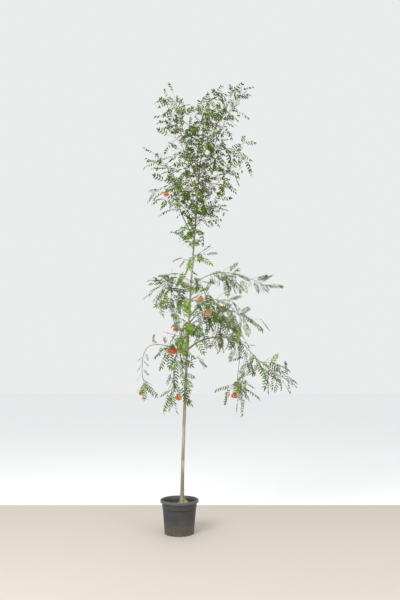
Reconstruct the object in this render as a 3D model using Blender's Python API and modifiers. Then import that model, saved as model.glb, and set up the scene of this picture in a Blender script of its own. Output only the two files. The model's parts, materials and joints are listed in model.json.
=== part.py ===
"""A young rowan in a round nursery pot, fruiting, about 4.1 m tall.

Metres, +Z up. The origin is the middle of the pot's flat underside. +X is to
the right as the tree is usually seen, and +Y points away from the viewer.

The pot and its soil are turned. The trunk and the boughs are tapering tubes
along smooth curves. Each mass of foliage is one solid: a stem that goes on
from its bough, twigs that branch from the stem by a seeded rule, and feathered
leaves and fruit heads fused to them.
"""

import math
import random
from collections import namedtuple

import bmesh
import bpy
import numpy as np
from mathutils import Vector

TOUCH = 0.0003                # gap that two touching pieces keep
WELD = 0.00001
FLAT_ANGLE = math.radians(0.8)
OBJECT_NAME = "rowan_tree"

# The pot: outer radii and heights of its turned wall.
POT_HEIGHT = 0.275
POT_FOOT_RADIUS = 0.1235
POT_LEDGE_RADIUS = 0.1425
POT_LEDGE_HEIGHT = 0.206
POT_COLLAR_RADIUS = 0.1465
POT_LIP_RADIUS = 0.1650
POT_LIP_DEPTH = 0.022
POT_WALL = 0.0030
POT_FLOOR = 0.0040
POT_STEPS = 32
DRAIN_SLOTS = 8
DRAIN_SLOT_WIDTH = 0.024
DRAIN_SLOT_HEIGHT = 0.009
DRAIN_SLOT_DEPTH = 0.020

SOIL_TOP = 0.240

# The trunk leans to +X, more and more with height.
TRUNK_FOOT = SOIL_TOP + TOUCH
TRUNK_TOP = 3.64
TRUNK_FOOT_X = 0.022
TRUNK_LEAN = 0.185
TRUNK_LEAN_POWER = 1.6
TRUNK_SWAY = 0.012            # slow wave to and fro along Y
TRUNK_FOOT_RADIUS = 0.0165
TRUNK_TIP_RADIUS = 0.0036
TRUNK_TAPER_POWER = 0.85
FLARE_RADIUS = 0.011          # how far the root flare stands out at the soil
FLARE_HEIGHT = 0.035
TRUNK_STATIONS = 22

# Twigs, leaves and fruit heads.
BOUGH_STATIONS = 6
STEM_STATIONS = 6
STEM_RADIUS = 0.0030
TWIG_RADIUS = 0.0023
TWIG_LENGTH = 0.42            # share of the mass's reach
LEAF_LENGTH = 0.195
LEAF_SPREAD = 0.31            # half width of a leaf, as a share of its length
LEAF_PAIRS = 3
LEAF_THICKNESS = 0.0020
LEAF_STALK = 0.15             # bare stalk, as a share of the leaf's length
LEAF_ARCH = 0.16              # how far a leaf's tip sinks, as a share of its length
TRIES = 26
LIMB_CLEARANCE = 0.004
SHARE_MARGIN = 0.05
LEAF_ROOT = 0.004             # how deep a leaf's stalk is sunk in its twig
LEAF_GAP = 0.022              # room between the sampled points of two leaves of a mass
TWIG_GAP = 0.010
FRUIT_ROUGHNESS = 0.14
FRUIT_SIDES = 7
FRUIT_RINGS = 4

Limb = namedtuple("Limb", "name parent at tip lift foot_radius tip_radius")
# at is the height on the trunk, or the share of the way along another bough.
# tip is where it ends, and lift moves the middle of its curve off the chord.
BOUGHS = [
    Limb("bough_right_leader", "trunk", 3.36, (0.31, 0.03, 3.66), (0.02, 0.02, 0.01), 0.0056, 0.0034),
    Limb("bough_right_side", "trunk", 3.18, (0.31, -0.12, 3.44), (0.01, -0.05, -0.02), 0.0045, 0.0030),
    Limb("bough_left_leader", "trunk", 3.13, (0.06, 0.02, 3.44), (-0.03, 0.02, 0.01), 0.0056, 0.0034),
    Limb("bough_left_side", "bough_left_leader", 0.55, (0.03, -0.09, 3.48), (0.0, -0.04, 0.0), 0.0034, 0.0028),
    Limb("bough_left_back", "trunk", 3.02, (0.07, 0.10, 3.32), (-0.03, 0.03, -0.02), 0.0045, 0.0030),
    Limb("bough_right_arch_high", "trunk", 3.27, (0.38, 0.00, 3.45), (0.0, 0.0, 0.05), 0.0042, 0.0028),
    Limb("bough_right_shoot", "trunk", 2.83, (0.35, -0.08, 3.10), (0.0, 0.0, 0.03), 0.0044, 0.0026),
    Limb("bough_left_shoot", "trunk", 2.58, (-0.08, -0.05, 3.12), (-0.05, -0.02, -0.04), 0.0058, 0.0032),
    Limb("bough_back_high", "trunk", 2.92, (0.21, 0.18, 3.12), (0.0, 0.04, 0.01), 0.0046, 0.0028),
    Limb("bough_left_drop", "trunk", 1.90, (-0.05, 0.07, 2.10), (-0.02, 0.03, 0.06), 0.0044, 0.0028),
    Limb("bough_right_high", "trunk", 2.10, (0.22, 0.02, 2.22), (0.0, 0.0, 0.03), 0.0056, 0.0034),
    Limb("bough_right_mid", "trunk", 1.84, (0.24, -0.06, 1.98), (-0.01, -0.01, 0.04), 0.0058, 0.0034),
    Limb("bough_right_back", "trunk", 1.78, (0.21, 0.11, 1.91), (-0.01, 0.02, 0.04), 0.0052, 0.0032),
    Limb("bough_right_arch", "trunk", 1.55, (0.43, -0.04, 1.65), (-0.02, 0.0, 0.10), 0.0078, 0.0052),
    Limb("bough_right_far", "bough_right_arch", 1.0, (0.62, -0.06, 1.53), (0.0, 0.0, 0.0), 0.0050, 0.0034),
    Limb("bough_right_hang", "bough_right_far", 0.45, (0.51, -0.02, 1.33), (0.02, 0.02, 0.05), 0.0034, 0.0026),
    Limb("bough_left_arch", "trunk", 1.49, (-0.22, 0.03, 1.60), (-0.02, 0.0, 0.06), 0.0056, 0.0040),
    Limb("bough_left_end", "bough_left_arch", 1.0, (-0.34, 0.04, 1.33), (0.0, 0.0, 0.0), 0.0038, 0.0026),
    Limb("bough_left_hang", "trunk", 1.62, (-0.05, -0.10, 1.40), (-0.04, -0.05, 0.11), 0.0044, 0.0028),
    Limb("bough_front_low", "trunk", 1.68, (0.05, -0.20, 1.76), (0.0, 0.0, 0.06), 0.0052, 0.0030),
    Limb("bough_back_low", "trunk", 1.72, (0.17, 0.26, 1.83), (0.0, 0.0, 0.08), 0.0056, 0.0032),
    Limb("bough_back_left", "trunk", 1.86, (-0.03, 0.20, 2.03), (0.0, 0.0, 0.04), 0.0048, 0.0030),
]

Mass = namedtuple("Mass", "name parent at tip reach twigs hang fruit")
# The stem goes from the parent's tip (at None) or from a height on the trunk
# to tip. reach is how far the leaves get from it, hang how strongly they are
# drawn down, and fruit the fruit heads as (X, Y, Z, width).
MASSES = [
    Mass("leaves_right_leader", "bough_right_leader", None, (0.56, 0.05, 3.95), 0.20, 4, 0.3, []),
    Mass("leaves_right_side", "bough_right_side", None, (0.45, -0.18, 3.74), 0.22, 3, 0.3, []),
    Mass("leaves_left_leader", "bough_left_leader", None, (-0.06, 0.05, 3.96), 0.20, 4, 0.1, []),
    Mass("leaves_left_side", "bough_left_side", None, (-0.13, -0.14, 3.82), 0.20, 3, 0.3, []),
    Mass("leaves_left_back", "bough_left_back", None, (-0.12, 0.20, 3.74), 0.22, 3, 0.3, []),
    Mass("leaves_top", "trunk", None, (0.19, 0.00, 3.90), 0.21, 4, 0.0, []),
    Mass("leaves_front_high", "trunk", 3.10, (0.14, -0.24, 3.46), 0.22, 3, 0.3, []),
    Mass("leaves_back_top", "trunk", 3.46, (0.29, 0.25, 3.72), 0.22, 2, 0.3, []),
    Mass("leaves_right_arch_high", "bough_right_arch_high", None, (0.56, -0.04, 3.41), 0.20, 2, 0.4, []),
    Mass("leaves_right_inner", "trunk", 2.98, (0.31, 0.10, 3.28), 0.22, 3, 0.3, []),
    Mass("leaves_right_shoot", "bough_right_shoot", None, (0.47, -0.12, 3.22), 0.20, 2, 0.6, []),
    Mass("leaves_left_shoot", "bough_left_shoot", None, (-0.26, -0.08, 3.38), 0.17, 2, 0.3, []),
    Mass("leaves_left_fruit", "trunk", 2.75, (-0.16, -0.16, 2.97), 0.21, 2, 0.5,
         [(-0.13, -0.18, 2.94, 0.060)]),
    Mass("leaves_front_mid", "trunk", 2.79, (0.08, -0.25, 3.06), 0.22, 2, 0.4, []),
    Mass("leaves_back_high", "bough_back_high", None, (0.22, 0.34, 3.30), 0.22, 2, 0.4, []),
    Mass("leaves_left_middle", "trunk", 2.88, (-0.06, 0.22, 3.12), 0.22, 2, 0.4, []),
    Mass("leaves_mid_right", "trunk", 2.68, (0.33, 0.06, 2.90), 0.21, 2, 0.5, []),
    Mass("leaves_trunk_front", "trunk", 2.54, (0.14, -0.20, 2.74), 0.20, 2, 0.5, []),
    Mass("leaves_trunk_left", "trunk", 2.47, (0.00, 0.08, 2.66), 0.19, 1, 0.4, []),
    Mass("leaves_trunk_right", "trunk", 2.38, (0.21, 0.02, 2.47), 0.16, 1, 0.4, []),
    Mass("leaves_left_high", "trunk", 1.95, (-0.14, -0.09, 2.14), 0.21, 4, 0.6, []),
    Mass("leaves_left_drop", "bough_left_drop", None, (-0.09, 0.08, 1.93), 0.20, 3, 0.8,
         [(-0.045, 0.07, 1.74, 0.062)]),
    Mass("leaves_right_high", "bough_right_high", None, (0.76, 0.09, 2.16), 0.19, 4, 0.5, []),
    Mass("leaves_right_mid", "bough_right_mid", None, (0.56, -0.13, 1.78), 0.21, 4, 0.5, []),
    Mass("leaves_right_back", "bough_right_back", None, (0.45, 0.18, 1.74), 0.22, 3, 0.6, []),
    Mass("leaves_right_fruit", "trunk", 2.00, (0.25, -0.19, 2.04), 0.21, 2, 0.5,
         [(0.18, -0.17, 1.98, 0.070), (0.25, -0.22, 1.85, 0.066)]),
    Mass("leaves_right_far", "bough_right_far", None, (0.92, -0.10, 1.29), 0.20, 4, 0.7, []),
    Mass("leaves_right_hang", "bough_right_hang", None, (0.50, 0.00, 1.19), 0.20, 2, 0.9,
         [(0.475, -0.05, 1.145, 0.068)]),
    Mass("leaves_left_end", "bough_left_end", None, (-0.31, 0.05, 1.24), 0.18, 2, 0.7,
         [(-0.34, 0.02, 1.165, 0.058)]),
    Mass("leaves_left_hang", "bough_left_hang", None, (-0.04, -0.13, 1.19), 0.18, 2, 0.9,
         [(-0.01, -0.10, 1.13, 0.075)]),
    Mass("leaves_left_low", "trunk", 1.66, (-0.07, -0.11, 1.66), 0.20, 2, 0.8,
         [(-0.06, -0.16, 1.53, 0.098)]),
    Mass("leaves_right_low", "trunk", 1.42, (0.17, -0.07, 1.49), 0.18, 2, 0.7, []),
    Mass("leaves_front_low", "bough_front_low", None, (0.07, -0.38, 1.62), 0.22, 2, 0.7, []),
    Mass("leaves_back_low", "bough_back_low", None, (0.20, 0.46, 1.66), 0.22, 2, 0.7, []),
    Mass("leaves_back_left", "bough_back_left", None, (-0.12, 0.36, 2.00), 0.21, 2, 0.6, []),
]


def finish(obj, colour, roughness=0.6, metallic=0.0):
    """Give an object a material of its own."""
    material = bpy.data.materials.new(obj.name + "_finish")
    material.use_nodes = True
    shader = material.node_tree.nodes["Principled BSDF"]
    shader.inputs["Base Color"].default_value = (*colour, 1.0)
    shader.inputs["Roughness"].default_value = roughness
    shader.inputs["Metallic"].default_value = metallic
    obj.data.materials.clear()
    obj.data.materials.append(material)


def add_object(name, data, collection):
    obj = bpy.data.objects.new(name, data)
    collection.objects.link(obj)
    return obj


def as_mesh(obj, collection):
    """Replace an object by the welded mesh that its curve or modifiers make."""
    graph = bpy.context.evaluated_depsgraph_get()
    mesh = bpy.data.meshes.new_from_object(obj.evaluated_get(graph))
    name = obj.name
    solid = bpy.data.objects.new(name + "_solid", mesh)
    solid.matrix_world = obj.matrix_world
    bpy.data.objects.remove(obj)
    solid.name = name
    collection.objects.link(solid)
    shape = bmesh.new()
    shape.from_mesh(mesh)
    bmesh.ops.remove_doubles(shape, verts=shape.verts, dist=WELD)
    shape.to_mesh(mesh)
    shape.free()
    return solid


def bodies(shape):
    """The separate bodies of a bmesh, each a list of faces joined edge to edge, the smallest first."""
    waiting = set(shape.faces)
    found = []
    for seed in shape.faces:
        if seed not in waiting:
            continue
        waiting.discard(seed)
        body = [seed]
        for face in body:
            for edge in face.edges:
                for neighbour in edge.link_faces:
                    if neighbour in waiting:
                        waiting.discard(neighbour)
                        body.append(neighbour)
        found.append(body)
    return sorted(found, key=len)


def largest_body(mesh):
    """Drop needless points on flat faces, then every loose scrap and sealed hollow.

    Returns how many faces were dropped.
    """
    shape = bmesh.new()
    shape.from_mesh(mesh)
    bmesh.ops.dissolve_limit(shape, angle_limit=FLAT_ANGLE, verts=shape.verts, edges=shape.edges)
    bmesh.ops.triangulate(shape, faces=shape.faces)
    scraps = [face for body in bodies(shape)[:-1] for face in body]
    bmesh.ops.delete(shape, geom=scraps, context="FACES")
    shape.to_mesh(mesh)
    shape.free()
    return len(scraps)


def cut(obj, cutter, collection):
    """Take a cutter's space out of an object, and remove the cutter."""
    boolean = obj.modifiers.new("clearance", "BOOLEAN")
    boolean.operation = "DIFFERENCE"
    boolean.solver = "EXACT"
    boolean.object = cutter
    solid = as_mesh(obj, collection)
    bpy.data.objects.remove(cutter)
    largest_body(solid.data)
    return solid


def tube(name, points, radii, collection, sides):
    """A tapering tube with flat ends, along points, as a mesh. Sides is 3, or an even number."""
    curve = bpy.data.curves.new(name, "CURVE")
    curve.dimensions = "3D"
    curve.use_fill_caps = True
    spline = curve.splines.new("POLY")
    spline.points.add(len(points) - 1)
    for knot, point, radius in zip(spline.points, points, radii):
        knot.co = (*point, 1.0)
        knot.radius = radius
    if sides == 3:
        curve.bevel_mode = "OBJECT"
        curve.bevel_object = three_sided_profile()
    else:
        curve.bevel_depth = 1.0
        curve.bevel_resolution = sides // 2 - 2
    return as_mesh(add_object(name, curve, collection), collection)


def three_sided_profile():
    """The triangle, of radius 1, that a twig's section is scaled from."""
    if "twig_section" in bpy.data.objects:
        return bpy.data.objects["twig_section"]
    curve = bpy.data.curves.new("twig_section", "CURVE")
    curve.dimensions = "2D"
    spline = curve.splines.new("POLY")
    spline.points.add(2)
    for index, knot in enumerate(spline.points):
        turn = -2 * math.pi * index / 3
        knot.co = (math.cos(turn), math.sin(turn), 0.0, 1.0)
    spline.use_cyclic_u = True
    return add_object("twig_section", curve, cutters)


def unit(vector):
    return vector / np.linalg.norm(vector)


def curve_points(foot, knee, tip, count):
    """Points of the quadratic curve from foot to tip that bends towards knee."""
    t = np.linspace(0.0, 1.0, count)[:, None]
    return (1 - t) ** 2 * foot + 2 * t * (1 - t) * knee + t ** 2 * tip


def trunk_point(height):
    """Where the trunk's middle is at a height."""
    share = (height - TRUNK_FOOT) / (TRUNK_TOP - TRUNK_FOOT)
    lean = TRUNK_LEAN * max(share, 0.0) ** TRUNK_LEAN_POWER
    sway = TRUNK_SWAY * math.sin(2 * math.pi * share)
    return np.array((TRUNK_FOOT_X + lean, sway, height))


def trunk_radius(height):
    """The trunk tapers to its tip, and flares out just above the soil."""
    share = (height - TRUNK_FOOT) / (TRUNK_TOP - TRUNK_FOOT)
    taper = (TRUNK_FOOT_RADIUS - TRUNK_TIP_RADIUS) * (1 - share ** TRUNK_TAPER_POWER)
    flare = FLARE_RADIUS * math.exp(-(height - TRUNK_FOOT) / FLARE_HEIGHT)
    return TRUNK_TIP_RADIUS + taper + flare


def trunk_line():
    """Stations up the trunk, close together in the flare, the lowest two upright."""
    rise = np.linspace(0.0, 1.0, TRUNK_STATIONS) ** 1.35
    heights = TRUNK_FOOT + rise * (TRUNK_TOP - TRUNK_FOOT)
    heights[1] = TRUNK_FOOT + 0.012
    points = np.array([trunk_point(height) for height in heights])
    points[1, :2] = points[0, :2]
    return points, np.array([trunk_radius(height) for height in heights])


def path_place(points, share):
    """The point at a share of the way along a path."""
    steps = np.linalg.norm(np.diff(points, axis=0), axis=1)
    travelled = np.concatenate(([0.0], np.cumsum(steps)))
    wanted = share * travelled[-1]
    return np.array([np.interp(wanted, travelled, points[:, axis]) for axis in range(3)])


def distances(points, path):
    """How far each point is from each straight piece of a path, and where along it."""
    start = path[:-1]
    along = path[1:] - start
    offset = points[:, None, :] - start
    share = np.clip((offset * along).sum(2) / (along * along).sum(1), 0.0, 1.0)
    near = start + share[:, :, None] * along
    return np.linalg.norm(points[:, None, :] - near, axis=2), share


def clear_of_limbs(points, limbs):
    """True where every point stands clear of every limb's surface."""
    for path, radii in limbs.values():
        gap, share = distances(points, path)
        surface = radii[:-1] + share * (radii[1:] - radii[:-1])
        if (gap - surface).min() < LIMB_CLEARANCE:
            return False
    return True


def in_own_space(points, mass, stems):
    """True where every point is in reach of its mass's stem, and nearer to it than to any other."""
    own = distances(points, stems[mass.name])[0].min(axis=1) / mass.reach
    if own.max() > 1.0:
        return False
    for other in MASSES:
        if other.name != mass.name:
            theirs = distances(points, stems[other.name])[0].min(axis=1) / other.reach
            if (own + SHARE_MARGIN > theirs).any():
                return False
    return True


def limb_paths():
    """The middle line and the radii of the trunk and of every bough."""
    limbs = {"trunk": trunk_line()}
    for bough in BOUGHS:
        if bough.parent == "trunk":
            foot = trunk_point(bough.at)
        else:
            foot = path_place(limbs[bough.parent][0], bough.at)
        tip = np.array(bough.tip)
        if bough.at == 1.0:
            parent_path = limbs[bough.parent][0]
            ahead = unit(parent_path[-1] - parent_path[-2])
            foot = parent_path[-1] + ahead * TOUCH
            knee = foot + ahead * 0.5 * np.linalg.norm(tip - foot)
        else:
            knee = (foot + tip) / 2 + np.array(bough.lift)
        points = curve_points(foot, knee, tip, BOUGH_STATIONS)
        if bough.at == 1.0:
            points[1] = foot + ahead * np.linalg.norm(points[1] - foot)
        limbs[bough.name] = (points, np.linspace(bough.foot_radius, bough.tip_radius, BOUGH_STATIONS))
    return limbs


def stem_path(mass, limbs):
    """A mass's stem: on from its bough's tip in the same direction, or out of the trunk."""
    tip = np.array(mass.tip)
    if mass.at is None:
        path = limbs[mass.parent][0]
        ahead = unit(path[-1] - path[-2])
        foot = path[-1] + ahead * TOUCH
        knee = foot + ahead * 0.45 * np.linalg.norm(tip - foot)
        points = curve_points(foot, knee, tip, STEM_STATIONS)
        points[1] = foot + ahead * np.linalg.norm(points[1] - foot)
        return points
    foot = trunk_point(mass.at)
    knee = (foot + tip) / 2 + np.array((0.0, 0.0, 0.12 * np.linalg.norm(tip - foot)))
    return curve_points(foot, knee, tip, STEM_STATIONS)


def leaf_line(base, heading, length):
    """Points along a leaf's rib, which arches down towards its tip."""
    share = np.linspace(0.0, 1.0, 6)[:, None]
    return base + heading * length * share + np.array((0.0, 0.0, -LEAF_ARCH * length)) * share ** 2


def leaf_samples(base, heading, side, length):
    """Points of a leaf that have to stay clear: its rib, and the middles and tips of its leaflets."""
    rib = leaf_line(base, heading, length)
    rows = [rib[1:]]
    for spread in (-1.0, -0.5, 0.5, 1.0):
        rows.append(rib[2:5] + side * length * LEAF_SPREAD * spread)
    return np.concatenate(rows)


def clear_of_own(samples, taken, shoots, fruit):
    """True where a leaf stands clear of the leaves, twigs and fruit heads of its own mass."""
    for other in taken:
        if np.linalg.norm(samples[:, None] - other[None], axis=2).min() < LEAF_GAP:
            return False
    for shoot in shoots:
        if distances(samples, shoot)[0].min() < TWIG_GAP:
            return False
    for *centre, width in fruit:
        if np.linalg.norm(samples - centre, axis=1).min() < width / 2 + TWIG_GAP:
            return False
    return True


def place_leaf(base, heading, mass, stems, limbs, shoots, taken, chance):
    """Turn and lengthen a leaf, more freely each time, until it has room, or skip it."""
    for attempt in range(TRIES):
        freedom = 0.35 + 0.06 * attempt
        wander = np.array([chance.uniform(-freedom, freedom) for _ in range(3)])
        direction = unit(heading + wander + np.array((0.0, 0.0, -mass.hang * 0.7)))
        outward = base - trunk_point(base[2])
        facing = unit(outward + 0.001) * 0.6 * mass.hang + np.array((0.0, 0.0, 1.0 - 0.4 * mass.hang))
        roll = facing + np.array([chance.uniform(-0.7, 0.7) for _ in range(3)])
        side = unit(np.cross(direction, roll))
        length = LEAF_LENGTH * chance.uniform(0.82, 1.08) * (1.0 - 0.25 * attempt / TRIES)
        samples = leaf_samples(base, direction, side, length)
        if (in_own_space(samples, mass, stems) and clear_of_limbs(samples, limbs)
                and clear_of_own(samples, taken, shoots, mass.fruit)):
            taken.append(samples)
            return base, direction, side, length
    return None


def grow_twigs(mass, stems, limbs, chance):
    """Twigs leave the stem at even steps, turned by the golden angle."""
    stem = stems[mass.name]
    turn = chance.uniform(0.0, 2 * math.pi)
    down = np.array((0.0, 0.0, -1.0))
    twigs = []
    for index in range(mass.twigs):
        share = 0.25 + 0.60 * (index + 0.5) / mass.twigs
        root = path_place(stem, share)
        along = unit(path_place(stem, share + 0.05) - root)
        across = unit(np.cross(along, np.array((0.3, 0.5, 0.8))))
        for _ in range(TRIES):
            turn += math.radians(137.5)
            outward = across * math.cos(turn) + np.cross(along, across) * math.sin(turn)
            heading = unit(along * 0.55 + outward + down * mass.hang * 0.6)
            length = mass.reach * TWIG_LENGTH * chance.uniform(0.8, 1.1)
            twig = np.array((root, root + heading * length))
            if in_own_space(twig[1:], mass, stems) and clear_of_limbs(twig[1:], limbs):
                twigs.append(twig)
                break
    return twigs


def grow(mass, stems, limbs):
    """Twigs and leaves of one mass, the same on each run.

    Each twig bears a leaf at its tip and one on its side, and so does the
    stem's own tip. A leaf that finds no room is left out.
    """
    chance = random.Random(sum(place * ord(letter) for place, letter in enumerate(mass.name, 1)))
    stem = stems[mass.name]
    twigs = grow_twigs(mass, stems, limbs, chance)
    shoots = twigs + [stem]
    taken = []
    leaves = []
    for index, shoot in enumerate(shoots):
        ahead = unit(shoot[-1] - shoot[-2])
        leaves.append(place_leaf(shoot[-1] - ahead * LEAF_ROOT, ahead, mass, stems, limbs, shoots, taken, chance))
        sideways = unit(np.cross(ahead, unit(stem[-1] - stem[0]) + 0.01)) * (1 if index % 2 else -1)
        middle = path_place(shoot, 0.5 if index < len(twigs) else 0.85)
        leaves.append(place_leaf(middle, unit(ahead * 0.5 + sideways), mass, stems, limbs, shoots, taken, chance))
    return twigs, [leaf for leaf in leaves if leaf]


def leaf_solid(name, base, heading, side, length, collection):
    """A feathered leaf: a three-sided rib whose edges are drawn out to the tips of its leaflets.

    The rib's stations lie between the pairs of leaflets, so the outline is cut
    in to the rib between one leaflet and the next.
    """
    shares = np.linspace(LEAF_STALK, 0.80, LEAF_PAIRS + 1)
    shape = bmesh.new()
    sink = np.array((0.0, 0.0, -LEAF_ARCH * length))

    def rib_point(share):
        return base + heading * length * share + sink * share ** 2

    def ring(share, half=LEAF_THICKNESS / 2):
        middle = rib_point(share)
        ahead = unit(heading * length + 2 * share * sink)
        across = unit(side - ahead * np.dot(side, ahead))
        over = np.cross(across, ahead)
        corners = (middle + over * half, middle + across * half - over * half * 0.6,
                   middle - across * half - over * half * 0.6)
        return [shape.verts.new(corner) for corner in corners], across, ahead

    first, _, _ = ring(0.0, LEAF_THICKNESS * 0.3)
    shape.faces.new((first[0], first[1], first[2]))
    previous, _, _ = ring(shares[0])
    for corner in range(3):
        after = (corner + 1) % 3
        shape.faces.new((first[corner], previous[corner], previous[after], first[after]))
    for pair in range(LEAF_PAIRS):
        middle_share = (shares[pair] + shares[pair + 1]) / 2
        following, across, ahead = ring(shares[pair + 1])
        fullness = math.sin(math.pi * (0.30 + 0.45 * (pair + 0.5) / LEAF_PAIRS))
        for corner, way in ((1, 1.0), (2, -1.0)):
            reach = rib_point(middle_share + 0.07) + across * way * LEAF_SPREAD * length * fullness
            leaflet = shape.verts.new(reach)
            shape.faces.new((previous[0], previous[corner], leaflet))
            shape.faces.new((previous[0], leaflet, following[0]))
            shape.faces.new((following[0], leaflet, following[corner]))
            shape.faces.new((previous[corner], following[corner], leaflet))
        shape.faces.new((previous[1], previous[2], following[2], following[1]))
        previous = following
    tip = shape.verts.new(rib_point(1.0))
    for corner in range(3):
        shape.faces.new((previous[corner], previous[(corner + 1) % 3], tip))
    bmesh.ops.recalc_face_normals(shape, faces=shape.faces)
    mesh = bpy.data.meshes.new(name)
    shape.to_mesh(mesh)
    shape.free()
    return add_object(name, mesh, collection)


def fruit_head(name, centre, width, chance, collection):
    """A lumpy, flattened cluster of berries."""
    shape = bmesh.new()
    bmesh.ops.create_uvsphere(shape, u_segments=FRUIT_SIDES, v_segments=FRUIT_RINGS, radius=1.0)
    for vert in shape.verts:
        lump = 1.0 + chance.uniform(-FRUIT_ROUGHNESS, FRUIT_ROUGHNESS)
        vert.co = Vector(centre) + Vector((vert.co.x, vert.co.y, vert.co.z * 0.75)) * lump * width / 2
    mesh = bpy.data.meshes.new(name)
    shape.to_mesh(mesh)
    shape.free()
    return add_object(name, mesh, collection)


def fruit_stalk(centre, stem):
    """From the nearest station of the stem, up and over, down into the head's middle."""
    root = stem[1:][np.linalg.norm(stem[1:] - centre, axis=1).argmin()]
    knee = (root + centre) / 2 + np.array((0.0, 0.0, 0.25 * np.linalg.norm(centre - root)))
    return curve_points(root, knee, centre, 3)


def fuse(solid, pieces, collection):
    """Join a collection's pieces to a solid, then remove them. The first solver that leaves one body is kept."""
    name = solid.name
    results = []
    for solver in ("EXACT", "MANIFOLD"):
        trial = add_object(name, solid.data.copy(), collection)
        union = trial.modifiers.new("fuse", "BOOLEAN")
        union.operation = "UNION"
        union.operand_type = "COLLECTION"
        union.solver = solver
        union.collection = pieces
        trial = as_mesh(trial, collection)
        results.append((largest_body(trial.data), len(results), trial))
        if results[-1][0] == 0:
            break
    best = min(results)[2]
    for _, _, trial in results:
        if trial is not best:
            bpy.data.objects.remove(trial)
    bpy.data.objects.remove(solid)
    best.name = name
    for piece in list(pieces.objects):
        bpy.data.objects.remove(piece)
    bpy.data.collections.remove(pieces)
    return best


def build_mass(mass, stems, limbs, collection):
    """One mass of foliage: its stem, with twigs, leaves and fruit heads fused to it."""
    twigs, leaves = grow(mass, stems, limbs)
    stem = stems[mass.name]
    solid = tube(mass.name, stem, np.linspace(STEM_RADIUS, TWIG_RADIUS, len(stem)), collection, 3)
    pieces = bpy.data.collections.new(mass.name + "_pieces")
    bpy.context.scene.collection.children.link(pieces)
    for twig in twigs:
        tube("twig", twig, (TWIG_RADIUS, TWIG_RADIUS), pieces, 3)
    for leaf in leaves:
        leaf_solid("leaf", *leaf, pieces)
    chance = random.Random(len(mass.name))
    for *centre, width in mass.fruit:
        stalk = fruit_stalk(np.array(centre), stem)
        tube("stalk", stalk, np.full(len(stalk), TWIG_RADIUS), pieces, 3)
        fruit_head("fruit", centre, width, chance, pieces)
    solid = fuse(solid, pieces, collection)
    if mass.at is not None:
        solid = cut(solid, trunk_cutter(limbs, TOUCH), collection)
    finish(solid, (0.13, 0.24, 0.05), 0.55)
    return solid


def trunk_cutter(limbs, margin):
    """The trunk, thicker all round by a margin."""
    points, radii = limbs["trunk"]
    return tube("trunk_clearance", points, radii + margin, cutters, 10)


def turned(name, profile, collection):
    """A body turned round Z from an (outer side first, top to bottom) profile of radius and height."""
    mesh = bpy.data.meshes.new(name)
    count = len(profile)
    edges = [(index, index + 1) for index in range(count - 1)]
    if profile[0][0] > 0.0:
        edges.append((count - 1, 0))
    mesh.from_pydata([(radius, 0.0, height) for radius, height in profile], edges, [])
    obj = add_object(name, mesh, collection)
    screw = obj.modifiers.new("turn", "SCREW")
    screw.steps = POT_STEPS
    screw.render_steps = POT_STEPS
    screw.use_merge_vertices = True
    screw.merge_threshold = WELD
    return as_mesh(obj, collection)


def pot_outer_radius(height):
    """Radius of the pot's plain outer wall below the ledge."""
    return POT_FOOT_RADIUS + (POT_LEDGE_RADIUS - POT_FOOT_RADIUS) * height / POT_LEDGE_HEIGHT


def build_pot(collection):
    """The pot: a rolled lip, a collar above a ledge, a tapering wall and drain slots at its foot."""
    lip_bottom = POT_HEIGHT - POT_LIP_DEPTH
    inner_top = POT_LIP_RADIUS - 0.014
    profile = [
        (0.0, POT_FLOOR),
        (pot_outer_radius(POT_FLOOR) - POT_WALL, POT_FLOOR),
        (POT_LEDGE_RADIUS - POT_WALL, POT_LEDGE_HEIGHT),
        (POT_COLLAR_RADIUS, lip_bottom + 0.004),
        (inner_top, POT_HEIGHT - 0.003),
        (inner_top + 0.003, POT_HEIGHT),
        (POT_LIP_RADIUS - 0.004, POT_HEIGHT),
        (POT_LIP_RADIUS, POT_HEIGHT - 0.004),
        (POT_LIP_RADIUS - 0.002, lip_bottom),
        (POT_COLLAR_RADIUS + POT_WALL, lip_bottom),
        (POT_COLLAR_RADIUS + POT_WALL - 0.003, POT_LEDGE_HEIGHT + 0.003),
        (POT_LEDGE_RADIUS, POT_LEDGE_HEIGHT),
        (POT_FOOT_RADIUS, 0.0),
        (0.0, 0.0),
    ]
    pot = turned("pot", profile, collection)
    shape = bmesh.new()
    shape.from_mesh(pot.data)
    bmesh.ops.recalc_face_normals(shape, faces=shape.faces)
    shape.to_mesh(pot.data)
    shape.free()
    slots = bpy.data.collections.new("drain_slots")
    bpy.context.scene.collection.children.link(slots)
    for index in range(DRAIN_SLOTS):
        turn = 2 * math.pi * (index + 0.5) / DRAIN_SLOTS
        bpy.ops.mesh.primitive_cube_add(size=1.0)
        slot = bpy.context.object
        slot.name = "drain_slot"
        middle = POT_FOOT_RADIUS
        slot.location = (middle * math.cos(turn), middle * math.sin(turn), 0.0)
        slot.rotation_euler = (0.0, 0.0, turn)
        slot.scale = (DRAIN_SLOT_DEPTH, DRAIN_SLOT_WIDTH, 2 * DRAIN_SLOT_HEIGHT)
        for home in list(slot.users_collection):
            home.objects.unlink(slot)
        slots.objects.link(slot)
    boolean = pot.modifiers.new("drain", "BOOLEAN")
    boolean.operation = "DIFFERENCE"
    boolean.operand_type = "COLLECTION"
    boolean.solver = "EXACT"
    boolean.collection = slots
    pot = as_mesh(pot, collection)
    for slot in list(slots.objects):
        bpy.data.objects.remove(slot)
    bpy.data.collections.remove(slots)
    pot.data.shade_smooth()
    pot.data.set_sharp_from_angle(angle=math.radians(30))
    finish(pot, (0.055, 0.058, 0.062), 0.55)


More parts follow.
